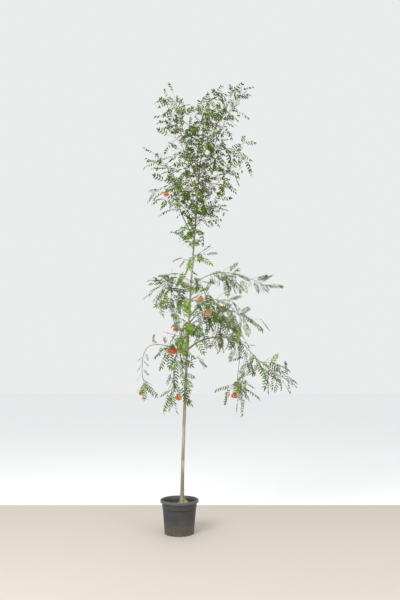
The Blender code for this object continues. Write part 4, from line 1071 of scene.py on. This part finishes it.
def trunk_finish():
    """Smooth bark: brown and tan streaks, pale grey-green patches, corky spots across it, algae low down."""
    finish = Finish("trunk_bark")
    streaks = finish.noise(30.0, 4.0, (3.0, 3.0, 0.12))
    long_shade = finish.noise(9.0, 2.0, (4.0, 4.0, 0.10)).between(0.45, 0.62)
    patches = finish.noise(22.0, 4.0, (1.5, 1.5, 0.45), 0.65).between(0.50, 0.64)
    spots = 1.0 - finish.cells(60.0, (1.0, 1.0, 2.6)).between(0.10, 0.22)
    low_down = 1.0 - finish.height.between(0.30, 1.3)
    algae = finish.noise(14.0, 3.0, (2.0, 2.0, 0.5)).between(0.45, 0.7) * low_down
    tint = finish.layered(
        finish.mix(streaks.between(0.3, 0.7), (0.20, 0.155, 0.095), (0.44, 0.39, 0.27)),
        (long_shade * 0.55, (0.13, 0.10, 0.062)),
        (patches * 0.75, (0.60, 0.60, 0.48)),
        (spots * 0.45, (0.50, 0.42, 0.30)),
        (algae * 0.5, (0.17, 0.21, 0.06)))
    grain = finish.noise(260.0, 4.0, (1.0, 1.0, 0.25)) + streaks * 0.8 + spots * 0.6 + patches * 0.3
    return finish.end(tint, 0.60 + 0.2 * patches, grain, 0.0012)


def bough_finish():
    """Young bark, purple-brown turning grey, with pale corky spots."""
    finish = Finish("bough_bark")
    patches = finish.noise(16.0, 3.0)
    spots = 1.0 - finish.cells(170.0).between(0.12, 0.24)
    tint = finish.layered(
        finish.mix(patches.between(0.35, 0.65), (0.165, 0.125, 0.090), (0.34, 0.29, 0.22)),
        (spots * 0.6, (0.38, 0.31, 0.23)))
    return finish.end(tint, 0.52 + 0.2 * patches, finish.noise(420.0, 3.0) + spots * 0.7, 0.0006)


def twig_finish():
    """Shiny purple-brown twigs, greener towards some tips."""
    tints = (0.105, 0.055, 0.045), (0.19, 0.155, 0.085)
    return mottled_finish("twig_bark", (22.0, 2.0), (0.40, 0.70), tints, 0.45, (700.0, 2.0), 0.0003)


def stalk_finish():
    """Leaf stalks and ribs, yellow-green flushed with red."""
    tints = (0.22, 0.30, 0.085), (0.27, 0.13, 0.07)
    return mottled_finish("leaf_stalk", (26.0, 2.0), (0.45, 0.72), tints, 0.5, (800.0, 2.0), 0.0002)


def berry_finish(name, colour, second):
    """A glossy berry, a little paler on one cheek."""
    finish = Finish(name)
    blush = finish.noise(90.0, 2.0)
    tint = finish.mix(blush.between(0.38, 0.62), colour, second)
    return finish.end(tint, 0.28 + 0.15 * blush, finish.noise(1200.0, 1.0), 0.0001,
                      Coat_Weight=0.25, Coat_Roughness=0.2)


def pot_finish(name, wall_tint, lip_highlight_tint):
    """Dark moulded plastic, with a greyer lip painted lighter as a highlight: dusty at the foot, with a
    painted shade band under the ledge, scuffed and grained.
    """
    finish = Finish(name)
    clouds = finish.noise(9.0, 4.0).between(0.35, 0.7)
    # Painted highlight: the whole lip band, from 0.249 m up, takes the lighter lip tint.
    lip_highlight = finish.height.between(0.249, 0.256)
    low = 1.0 - finish.height.between(-0.02, 0.15)
    # Painted shade: a near-black band on the wall just under the collar's ledge, where the overhang shades it.
    painted_shade_under_ledge = finish.height.between(0.188, 0.202) * (1.0 - finish.height.between(0.2065, 0.2085))
    dust = finish.noise(55.0, 5.0, (1.0, 1.0, 0.8), 0.65).between(0.42, 0.66)
    specks = finish.noise(210.0, 3.0).between(0.64, 0.70)
    runs = finish.noise(30.0, 3.0, (3.0, 3.0, 0.12)).between(0.52, 0.72)
    scuffs = finish.noise(60.0, 5.0, (1.0, 1.0, 6.0), 0.7).between(0.58, 0.70)
    tint = finish.layered(
        # The wall tint, with the lip painted lighter as a highlight.
        finish.mix(lip_highlight, wall_tint, lip_highlight_tint),
        (clouds * 0.3, (0.065, 0.066, 0.066)),
        (low * 0.45, (0.125, 0.100, 0.075)),
        (dust * (0.06 + 0.40 * low), (0.165, 0.135, 0.100)),
        (runs * 0.14, (0.15, 0.145, 0.135)),
        (specks * (0.15 + 0.5 * low), (0.27, 0.24, 0.20)),
        # Painted shade under the ledge.
        (painted_shade_under_ledge * 0.6, (0.012, 0.012, 0.012)),
        (scuffs * (0.10 + 0.20 * lip_highlight), (0.24, 0.25, 0.27)))
    roughness = 0.40 + 0.25 * dust + 0.15 * scuffs
    return finish.end(tint, roughness, finish.noise(500.0, 3.0) + 0.6 * scuffs, 0.0003)


def soil_finish():
    """Dark moist compost with paler fibres and grit."""
    finish = Finish("compost")
    clumps = finish.noise(45.0, 5.0)
    fibres = finish.noise(110.0, 4.0, (1.0, 4.0, 1.0)).between(0.60, 0.70)
    grit = 1.0 - finish.cells(140.0).between(0.10, 0.20)
    tint = finish.layered(
        finish.mix(clumps.between(0.35, 0.65), (0.014, 0.010, 0.007), (0.055, 0.038, 0.026)),
        (fibres * 0.5, (0.17, 0.12, 0.08)),
        (grit * 0.5, (0.20, 0.18, 0.15)))
    return finish.end(tint, 0.9, clumps + 0.5 * finish.noise(300.0, 4.0), 0.004)


def chip_finish():
    """Bits of bark and wood fibre."""
    tints = (0.045, 0.028, 0.018), (0.17, 0.11, 0.07)
    return mottled_finish("bark_chips", (60.0, 3.0), (0.35, 0.65), tints, 0.85, (400.0, 3.0), 0.0008)


def moss_finish():
    """Bright yellow-green moss, darker between its tufts."""
    tints = (0.10, 0.15, 0.012), (0.40, 0.52, 0.045)
    return mottled_finish("moss", (240.0, 3.0), (0.35, 0.62), tints, 0.85, (240.0, 3.0), 0.003)


def stage_finish(name, colour, roughness):
    """Plain and pale, with the faintest cloudiness."""
    finish = Finish(name)
    darker = [0.97 * part for part in colour]
    return finish.end(finish.mix(finish.noise(0.9, 2.0), darker, colour), roughness)


# The pot, the soil and the moss.

BOX_CORNERS = np.array(list(itertools.product((-0.5, 0.5), repeat=3)))
BOX_QUADS = np.array(((0, 1, 3, 2), (4, 6, 7, 5), (0, 4, 5, 1), (2, 3, 7, 6), (0, 2, 6, 4), (1, 5, 7, 3)))
BOX_FACES = np.concatenate((BOX_QUADS[:, :3], BOX_QUADS[:, [0, 2, 3]]))


def pot_outer_radius(height):
    """Radius of the pot's plain outer wall below the ledge."""
    return POT_FOOT_RADIUS + (POT_LEDGE_RADIUS - POT_FOOT_RADIUS) * height / POT_LEDGE_HEIGHT


def rounded_profile(corners, radius):
    """A line through corners of radius and height, each corner replaced by a small quadratic curve."""
    corners = np.array(corners)
    rows = [corners[:1]]
    for before, corner, after in zip(corners[:-2], corners[1:-1], corners[2:]):
        room = min(radius, 0.45 * np.linalg.norm(corner - before), 0.45 * np.linalg.norm(after - corner))
        start = corner + unit(before - corner) * room
        rows.append(curve_points(start, corner, corner + unit(after - corner) * room, 4))
    rows.append(corners[-1:])
    return np.concatenate(rows)


def pot_form(steps=448):
    """The wall's profile turned round Z, the tapering wall with ribs: r + depth * cos(ribs * a), clipped."""
    lip_bottom = POT_HEIGHT - POT_LIP_DEPTH
    inner_top = POT_LIP_RADIUS - 0.014
    wall = [(pot_outer_radius(height), height) for height in (0.195, 0.15, 0.10, 0.05, 0.014)]
    corners = [
        (0.0, POT_FLOOR),
        (pot_outer_radius(POT_FLOOR) - POT_WALL, POT_FLOOR),
        (POT_LEDGE_RADIUS - POT_WALL, POT_LEDGE_HEIGHT),
        (POT_COLLAR_RADIUS, lip_bottom + 0.004),
        (inner_top, POT_HEIGHT - 0.003),
        (inner_top + 0.003, POT_HEIGHT),
        (POT_LIP_RADIUS - 0.004, POT_HEIGHT),
        (POT_LIP_RADIUS, POT_HEIGHT - 0.004),
        (POT_LIP_RADIUS - 0.002, lip_bottom),
        (POT_COLLAR_RADIUS + POT_WALL, lip_bottom),
        (POT_COLLAR_RADIUS + POT_WALL - 0.003, POT_LEDGE_HEIGHT + 0.003),
        (POT_LEDGE_RADIUS, POT_LEDGE_HEIGHT),
        *wall,
        (POT_FOOT_RADIUS, 0.0),
        (0.0, 0.0),
    ]
    profile = rounded_profile(corners, 0.0014)[1:-1]
    radius, height = profile[:, :1], profile[:, 1:]
    angle = ring_angles(steps)
    outside = np.arange(len(profile))[:, None] > len(profile) * 0.62
    ribbed = outside * (height > 0.012) * (height < 0.198)
    radius = radius + ribbed * POT_RIB_DEPTH * np.clip(3.0 * np.cos(POT_RIBS * angle), -1.0, 1.0)
    return capped(polar(radius, angle, height), UP * POT_FLOOR, UP * 0.0, True)


def slot_form():
    """Boxes across the pot's foot, one for each drain slot."""
    corner = BOX_CORNERS * DRAIN_SLOT
    angle = (ring_angles(DRAIN_SLOTS) + np.pi / DRAIN_SLOTS)[:, None]
    out = polar(POT_FOOT_RADIUS + corner[:, 0], angle, corner[:, 2])
    return repeat_faces(out + polar(corner[:, 1], angle + np.pi / 2, 0.0), BOX_FACES)


def make_pot():
    """The pot, its drain slots cut out, the wall inside finished apart from the wall outside."""
    # Wall tint and lip tint; the lighter lip tint is a painted highlight.
    outside = pot_finish("pot_plastic", (0.031, 0.032, 0.034), (0.088, 0.096, 0.106))
    inside = pot_finish("pot_plastic_inside", (0.036, 0.041, 0.036), (0.060, 0.068, 0.060))
    pot = piece("pot_shell", pot_form(), outside, ("pot",))
    slots = piece("slots", slot_form(), outside)
    cut = pot.modifiers.new("slots", "BOOLEAN")
    cut.operation = "DIFFERENCE"
    cut.solver = "EXACT"
    cut.object = slots
    graph = bpy.context.evaluated_depsgraph_get()
    mesh = bpy.data.meshes.new_from_object(pot.evaluated_get(graph))
    pot.modifiers.remove(cut)
    pot.data = mesh
    bpy.data.objects.remove(slots)
    mesh.materials.clear()
    mesh.materials.append(outside)
    mesh.materials.append(inside)
    centres, normals = np.empty((2, len(mesh.polygons), 3))
    mesh.polygons.foreach_get("center", centres.ravel())
    mesh.polygons.foreach_get("normal", normals.ravel())
    inward = (centres[:, :2] * normals[:, :2]).sum(1) < -0.01
    mesh.polygons.foreach_set("material_index", (inward & (centres[:, 2] > POT_FLOOR)).astype(np.int32))
    mesh.shade_smooth()
    mesh.set_sharp_from_angle(angle=math.radians(35))


def soil_form(rings=70, steps=260):
    """A disc whose height is crumbly noise, drawn up a little to the trunk, on a plain turned body."""
    top_radius = POT_LEDGE_RADIUS - POT_WALL - TOUCH + (SOIL_TOP - POT_LEDGE_HEIGHT) * 0.06
    share = np.linspace(0.0, 1.0, rings)[1:, None]
    top = polar(share * top_radius, ring_angles(steps), 0.0)
    lumps = 0.0030 * noise(top * 60, 1) + 0.0018 * noise(top * 170, 2) + 0.0012 * noise(top * 420, 3)
    from_trunk = np.hypot(top[..., 0] - TRUNK_FOOT_X, top[..., 1])
    top[..., 2] = SOIL_TOP - 0.0015 + lumps + 0.006 * np.exp(-(from_trunk / 0.035) ** 2) + 0.003 * share ** 6
    floor = POT_FLOOR + TOUCH
    radii = np.array((POT_LEDGE_RADIUS, pot_outer_radius(floor)))[:, None] - POT_WALL - 2 * TOUCH
    sides = polar(radii, ring_angles(steps), np.array((POT_LEDGE_HEIGHT - 0.003, floor))[:, None])
    return capped(np.concatenate((top, sides)), UP * SOIL_TOP, UP * floor, True)


def chips_form(count=260):
    """Small flat chips: an eight-cornered box, each corner shifted, turned and strewn over the soil."""
    chance = np.random.default_rng(CHIP_SEED)
    size = chance.uniform((0.003, 0.002, 0.0012), (0.011, 0.005, 0.003), (count, 3))
    shape = (BOX_CORNERS + chance.uniform(-0.16, 0.16, (count, 8, 3))) * size[:, None]
    turn = chance.uniform(0, 2 * np.pi, count)[:, None]
    tilt = chance.uniform(-0.35, 0.35, count)[:, None]
    rise = shape[..., 2] + shape[..., 0] * tilt
    turned = polar(shape[..., 0], turn, rise) + polar(shape[..., 1], turn + np.pi / 2, 0.0)
    radius = 0.132 * np.sqrt(chance.uniform(0.03, 1.0, count))[:, None]
    angle = chance.uniform(0, 2 * np.pi, count)[:, None]
    return repeat_faces(turned + polar(radius, angle, SOIL_TOP + 0.0018), BOX_FACES)


def moss_form(rings=44, steps=150):
    """A cushion round the trunk's foot: height falls away with distance, and is tufted by fine noise."""
    share = np.linspace(0.0, 1.0, rings)[:, None]
    angle = ring_angles(steps)
    edge = 0.036 + 0.012 * np.sin(angle + 0.5) + 0.006 * np.sin(3 * angle) + 0.004 * np.sin(7 * angle + 1.0)
    rows = polar(0.012 + share * edge, angle, 0.0) + (TRUNK_FOOT_X + 0.004, 0.0, 0.0)
    tufts = 0.0030 * np.abs(noise(rows * 230, 5)) + 0.0020 * np.abs(noise(rows * 520, 6))
    dome = 0.024 * (1 - share ** 1.6) * (1 + 0.35 * np.cos(angle - 0.3) + 0.2 * np.sin(2 * angle + 0.4))
    rows[..., 2] = SOIL_TOP - 0.004 + dome + tufts * (1.2 - share)
    sunk = rows[[0, -1]]
    sunk[..., 2] = SOIL_TOP - 0.008
    rows = np.concatenate((sunk[:1], rows, sunk[1:]))
    faces = grid_faces(len(rows) + 1, steps, True) % (len(rows) * steps)
    return rows.reshape(-1, 3), faces[:, ::-1]


# Wood.

def trunk_form(rows=1250, sides=44):
    """Rings up the trunk's line. Relief is added to the radius.

    The relief is the sum of long streaks, low cross ridges, corky spots, a
    swelling at each bough and a small raised bud every few hand widths.
    """
    heights = TRUNK_FOOT + (np.linspace(0.0, 1.0, rows) ** 1.08) * (TRUNK_TOP - TRUNK_FOOT)
    angle = ring_angles(sides)
    radius = trunk_radius(heights)[:, None]
    surface = polar(radius, angle, heights[:, None])
    relief = 0.0007 * noise(surface * (150, 150, 8), 11) + 0.0004 * noise(surface * (380, 380, 30), 12)
    relief = relief + 0.0003 * noise(surface * (60, 60, 420), 13)
    spots = noise(surface * (120, 120, 260), 14)
    thick = radius / TRUNK_FOOT_RADIUS
    relief = (relief + 0.0006 * np.clip(spots - 0.45, 0.0, 0.3) / 0.3) * (0.35 + 0.65 * thick)
    flare = np.exp(-(heights - TRUNK_FOOT) / 0.05)[:, None]
    relief = relief + flare * 0.0022 * np.sin(5 * angle + 0.6) + flare * 0.0012 * np.sin(9 * angle)
    for bough in BOUGHS:
        if bough.parent == "trunk":
            relief = relief + 0.0011 * np.exp(-((heights - bough.at) / 0.012) ** 2)[:, None]
    chance = random.Random(BUD_SEED)
    for number in range(BUDS):
        height = TRUNK_FOOT + FIRST_BUD + number * BUD_STEP + chance.uniform(-0.02, 0.02)
        along = (heights - height)[:, None]
        turned = np.angle(np.exp(1j * (angle - number * GOLDEN_TURN))) * radius
        size = 0.0030 * (0.55 + 0.45 * math.sin(number * 1.7) ** 2)
        bump = size * np.exp(-(along / 0.0055) ** 2 - (turned / 0.0045) ** 2)
        relief = relief + bump - 0.0006 * np.exp(-((along + 0.010) / 0.003) ** 2 - (turned / 0.010) ** 2)
    middle = trunk_points(heights)
    return capped(middle[:, None] + polar(radius + relief, angle, 0.0), middle[0], middle[-1])


def bough_form(bough, sides=14):
    """A bough's curve, ringed every few millimetres, swollen where it leaves its parent, with low relief."""
    curve = bough_curve(bough, LIMBS, 0.0)
    length = path_length(curve_points(*curve, 40))
    rows = int(length / 0.0045) + 2
    path = curve_points(*curve, rows)
    travelled = np.linspace(0.0, length, rows)
    radius = np.linspace(bough.foot_radius, bough.tip_radius, rows)
    if bough.at != 1.0:
        start = trunk_radius(np.array(bough.at)) if bough.parent == "trunk" else 0.003
        radius = radius * (1 + 0.45 * np.exp(-(np.maximum(travelled - start, 0.0) / 0.010)))
    knots = 0.06 * np.exp(-(((travelled + 0.01) % 0.047 - 0.0235) / 0.004) ** 2)
    rings = carried_rings(path[None], radius * (1 + knots), sides)[0]
    outward = unit(rings - path[:, None])
    rings = rings + outward * (0.06 * radius[:, None] * noise(rings * 260, 21))[..., None]
    return capped(rings, path[0], path[-1])


def twig_forms(stems, twigs, fine):
    """Stems, twigs and finer twigs as tapering tubes, with a pointed bud at every tip."""
    stem_paths = np.array([path_place(path, np.linspace(0.0, 1.0, 22)) for path in stems])
    twig_paths = np.array([arched(*twig, 0.05, 9) for twig in twigs])
    fine_paths = np.array([path_place(path, np.linspace(0.0, 1.0, 6)) for path in fine])
    every = (stem_paths, twig_paths, fine_paths)
    tips = np.concatenate([paths[:, -1] for paths in every])
    ahead = unit(tips - np.concatenate([paths[:, -2] for paths in every]))
    bud_along = np.array((-0.003, 0.0, 0.003, 0.007, 0.0105, 0.012))
    stem_radii = np.linspace(STEM_RADIUS, 0.0013, 22) * (1 + 0.10 * (np.arange(22) % 3 == 0))
    return joined(tubes(stem_paths, stem_radii, 8),
                  tubes(twig_paths, np.linspace(0.0019, 0.0011, 9), 7),
                  tubes(fine_paths, np.linspace(0.0014, 0.0009, 6), 6),
                  tubes(tips[:, None] + ahead[:, None] * bud_along[:, None],
                        (0.0009, 0.0017, 0.0022, 0.0018, 0.0008, 0.0002), 6))


# Leaves.

def leaf_frames(leaves):
    """Base, heading, side and length of every leaf, as arrays."""
    return [np.array(values) for values in zip(*leaves)]


def rib_point(base, heading, length, share):
    """base + heading * length * s, sinking by s squared, for every leaf at each share s."""
    s = share[:, None]
    length = length[:, None, None]
    return base[:, None] + heading[:, None] * length * s - UP * LEAF_ARCH * length * s ** 2


def leaf_axes(heading, side, share):
    """Along the rib, across it and up from it, for every leaf at each share."""
    ahead = unit(heading[:, None] - 2 * share[:, None] * LEAF_ARCH * UP)
    across = unit(side[:, None] - ahead * (side[:, None] * ahead).sum(-1, keepdims=True))
    return ahead, across, np.cross(across, ahead)


def rib_form(leaves):
    """Each leaf's stalk and rib: a tube along its arched line, thick at the root, fine at the tip."""
    base, heading, _, length = leaf_frames(leaves)
    paths = rib_point(base, heading, length, np.linspace(-0.02, 0.93, 6))
    return tubes(paths, (0.0012, 0.0009, 0.0008, 0.0007, 0.0006, 0.0004), 3)


def leaflet_outline():
    """Half widths of a leaflet from base to tip: a blunt oblong, with teeth on alternate rows.

    Half width is (sin(pi u^0.9))^0.6, less a seventh on every other row past
    the first third.
    """
    u = np.linspace(0.0, 1.0, LEAFLET_ROWS)[1:-1]
    half = np.sin(np.pi * u ** 0.9) ** 0.6
    tooth = np.where((np.arange(len(u)) % 2 == 1) & (u > 0.3), 0.86, 1.0)
    return u, half * tooth


def leaflet_faces():
    """Triangles of one leaflet: a base point, rows of left, ridge and right, and a tip point.

    The underside is every face without a point of the ridge.
    """
    rows = LEAFLET_ROWS - 2
    first = np.array((0, 1, 2))
    body = grid_faces(rows, 3, True)[:, ::-1]
    start = fan_faces(first, rows * 3, True)
    end = fan_faces(first + (rows - 1) * 3, rows * 3 + 1, False)
    faces = np.concatenate((body, start, end))
    under = ~((faces < rows * 3) & (faces % 3 == 1)).any(1)
    return faces, under


def leaflet_points(origin, out, across, up, length, width, fold, curl):
    """All leaflets at once.

    Point(u, v) = origin + out * length * u + across * width * half(u) * v
    + up * (fold * (1 - |v|) * width * half(u) - curl * length * u^2): a low roof,
    its ridge along the midrib and its flat side underneath.
    """
    u, half = leaflet_outline()
    v = np.array((-1.0, 0.0, 1.0))
    wide = (width[:, None] * half)[:, :, None]
    along = (length[:, None] * u)[:, :, None]
    rise = fold[:, None, None] * (1 - np.abs(v)) * wide - (curl * length)[:, None, None] * (u ** 2)[:, None]
    points = (origin[:, None, None] + out[:, None, None] * along[..., None]
              + across[:, None, None] * (wide * v)[..., None] + up[:, None, None] * rise[..., None])
    tip = origin + out * length[:, None] - up * (curl * length)[:, None]
    count = len(origin)
    return np.concatenate((points.reshape(count, -1, 3), origin[:, None], tip[:, None]), 1)


def leaflets_form(leaves, chance, form):
    """Paired leaflets along every rib and one at its tip, and which of their faces lie underneath."""
    base, heading, side, length = leaf_frames(leaves)
    way = np.append(np.tile((1.0, -1.0), form.pairs), 0.0)
    order = np.repeat(np.arange(form.pairs), 2) / (form.pairs - 1)
    share = np.append(0.24 + 0.66 * order, 0.93)
    each = (len(leaves), len(share))
    origin = rib_point(base, heading, length, share)
    ahead, across, up = leaf_axes(heading, side, share)
    size = np.append(0.80 + 0.20 * np.sin(np.pi * (0.25 + 0.55 * order)), 1.05)
    lean = np.append(0.50 + 0.25 * order, 1.0) + form.unrest * chance.uniform(-0.12, 0.12, each)
    droop = chance.uniform(0.05, 0.45, (len(leaves), 1)) + form.unrest * chance.uniform(-0.14, 0.14, each)
    out = unit(ahead * lean[..., None] + across * 0.85 * way[:, None] - up * droop[..., None])
    flat = unit(np.cross(up, out))
    top = np.cross(out, flat)
    roll = form.unrest * chance.uniform(-0.45, 0.45, (*each, 1))
    flat, top = flat * np.cos(roll) + top * np.sin(roll), top * np.cos(roll) - flat * np.sin(roll)
    long = length[:, None] * form.length * size * chance.uniform(0.90, 1.10, each)
    wide = long * form.width * chance.uniform(0.88, 1.12, each)
    total = long.size
    frames = [axis.reshape(-1, 3) for axis in (origin, out, flat, top)]
    points = leaflet_points(*frames, long.ravel(), wide.ravel(),
                            chance.uniform(0.12, 0.30, total), chance.uniform(0.02, 0.18, total))
    faces, under = leaflet_faces()
    return repeat_faces(points, faces), np.tile(under, total)


def deal_leaves(leaves):
    """The leaves dealt out to the tints by chance, by the tints' shares in each leaf's part of the crown."""
    chance = random.Random(TINT_SEED)
    hands = [[] for _ in TINTS]
    for leaf in leaves:
        fresh = any(np.linalg.norm(leaf.base - centre) < radius for *centre, radius in FRESH_PLACES)
        part = "fresh" if fresh else "high" if is_high(leaf.base) else "low"
        drawn = chance.random()
        for hand, limit in zip(hands, itertools.accumulate(getattr(tint, part) for tint in TINTS)):
            if drawn < limit:
                hand.append(leaf)
                break
    return hands


# Berries.

def head_forms(centre, width, top, chance):
    """One head: berries spread by the golden angle over a flattened dome, each on a fine curved stalk."""
    count = int(58 * (width / 0.070) ** 2)
    number = np.arange(count) + 0.5
    rise = 1 - 2 * number / count
    size = (width / 2 - BERRY_RADIUS * 0.6) * chance.uniform(0.62, 1.0, count)
    where = centre + polar(np.sqrt(1 - rise ** 2), number * GOLDEN_TURN, 0.62 * rise) * size[:, None]
    knee = (top + where) / 2 + UP * 0.006
    paths = curve_points(top, knee[:, None], where[:, None], 5)
    return where, tubes(paths, (0.0008, 0.0007, 0.0006, 0.0005, 0.0005), 4)


def fruit_heads(stems, chance):
    """Where the berries of every head are, dealt out to the tints by turns, and all the stalks."""
    bunches = [[] for _ in BERRY_TINTS]
    stalks = []
    heads = [(stem, np.array(centre), width)
             for stem, mass in zip(stems, MASSES) for *centre, width in mass.fruit]
    for number, (stem, centre, width) in enumerate(heads):
        root = stem[2:][np.linalg.norm(stem[2:] - centre, axis=1).argmin()]
        top = centre + UP * (0.40 * width) + 0.15 * (root - centre)
        stalks.append(tubes(arched(root, top, 0.25, 8)[None], np.linspace(0.0016, 0.0011, 8), 6))
        places, fine_stalks = head_forms(centre, width, top, chance)
        stalks.append(fine_stalks)
        bunches[number * 2 % 3].append(places)
    return bunches, stalks


def berries_form(where, chance, rows=7, sides=9):
    """Berries at many places: a ball drawn in at its lower pole to a small dark eye."""
    slope = np.linspace(0.0, np.pi, rows)[1:-1, None]
    ball, faces = capped(polar(np.sin(slope), ring_angles(sides), np.cos(slope)), UP * 0.92, UP * -0.80, True)
    size = BERRY_RADIUS * chance.uniform(0.86, 1.12, len(where))[:, None, None]
    return repeat_faces(where[:, None] + ball * size, faces)


# Making.

make_pot()
piece("compost", soil_form(), soil_finish(), ("soil",))
piece("bark_chips", chips_form(), chip_finish(), smooth=False)
piece("moss", moss_form(), moss_finish())
piece("trunk_bark", trunk_form(), trunk_finish(), ("trunk",))
piece("boughs_bark", joined(*(bough_form(bough) for bough in BOUGHS)), bough_finish(),
      [bough.name for bough in BOUGHS])

all_stems, all_twigs, all_fine, all_leaves = [], [], [], []
for place in range(len(MASSES)):
    twig_list, leaf_list, room = grow(place)
    stem_line, fine_list, more = grow_finer(place, twig_list, room)
    all_stems.append(stem_line)
    all_twigs += twig_list
    all_fine += fine_list
    all_leaves += leaf_list + more
spray_twigs, spray_leaves = grow_sprays()

piece("twigs", twig_forms(all_stems, all_twigs, all_fine + spray_twigs), twig_finish(), MASS_NAMES)
every_leaf = open_to_sky(all_leaves + spray_leaves) + grow_small_leaves()
piece("leaf_ribs", rib_form(every_leaf), stalk_finish(), MASS_NAMES)

for tint, dealt in zip(TINTS, deal_leaves(every_leaf)):
    leaf_chance = np.random.default_rng(len(dealt))
    low = [leaf for leaf in dealt if not is_high(leaf.base)]
    high = [leaf for leaf in dealt if is_high(leaf.base)]
    low_form, low_under = leaflets_form(low, leaf_chance, LOW_FORM)
    high_form, high_under = leaflets_form(high, leaf_chance, HIGH_FORM)
    upper_finish = leaf_finish("leaf_" + tint.name, tint.upper, 0.45)
    under_finish = leaf_finish("leaf_under_" + tint.name, tint.under, 0.6)
    piece("leaves_" + tint.name, joined(low_form, high_form), upper_finish, MASS_NAMES,
          crease=50, second=under_finish, second_faces=np.concatenate((low_under, high_under)))

berry_chance = np.random.default_rng(BERRY_SEED)
berry_places, berry_stalks = fruit_heads(all_stems, berry_chance)
for (tint_name, cheek, other_cheek), bunch in zip(BERRY_TINTS, berry_places):
    piece("berries_" + tint_name, berries_form(np.concatenate(bunch), berry_chance),
          berry_finish("berry_" + tint_name, cheek, other_cheek), MASS_NAMES)
piece("berry_stalks", joined(*berry_stalks), stalk_finish(), MASS_NAMES)


# Stage, light and camera.

def linked(name, data):
    """A new object of any kind, in the scene."""
    obj = bpy.data.objects.new(name, data)
    bpy.context.scene.collection.objects.link(obj)
    return obj


def stage_sheet(name, half_width, near, far, finish):
    """A level sheet on the ground, from one Y to another."""
    mesh = bpy.data.meshes.new(name)
    corners = [(-half_width, near, 0), (half_width, near, 0), (half_width, far, 0), (-half_width, far, 0)]
    mesh.from_pydata(corners, [], [(0, 1, 2, 3)])
    mesh.materials.append(finish)
    linked(name, mesh)


def soft_lamp(name, place, watts):
    """A square area light at a place, facing the tree."""
    light = bpy.data.lights.new(name, "AREA")
    light.shape = "SQUARE"
    light.size = LAMP_SIZE
    light.energy = watts
    lamp = linked(name, light)
    lamp.location = place
    x, y, z = np.subtract(place, LAMP_AIM)
    lamp.rotation_euler = (math.atan2(math.hypot(x, y), z), 0.0, math.atan2(x, -y))


stage_sheet("floor", 30, -30, FLOOR_JOIN, stage_finish("floor_pale", (0.60, 0.54, 0.47), 0.7))
stage_sheet("floor_back", 60, FLOOR_JOIN, 90, stage_finish("floor_white", (0.975, 0.985, 0.985), 0.9))

world = bpy.data.worlds.new("soft_light")
bpy.context.scene.world = world
world.use_nodes = True
sky = world.node_tree.nodes["Background"].inputs
sky["Color"].default_value = SKY_TINT
sky["Strength"].default_value = SKY_STRENGTH
soft_lamp("key", (-2.6, -4.6, 4.4), 300.0)
soft_lamp("fill", (3.6, -3.4, 2.6), 60.0)

camera = linked("camera", bpy.data.cameras.new("camera"))
bpy.context.scene.camera = camera
camera.data.lens = LENS
camera.data.sensor_width = SENSOR_WIDTH
camera.location = EYE
camera.rotation_euler = (math.radians(90 + EYE_TILT), 0.0, 0.0)
bpy.context.scene.view_settings.view_transform = "Standard"
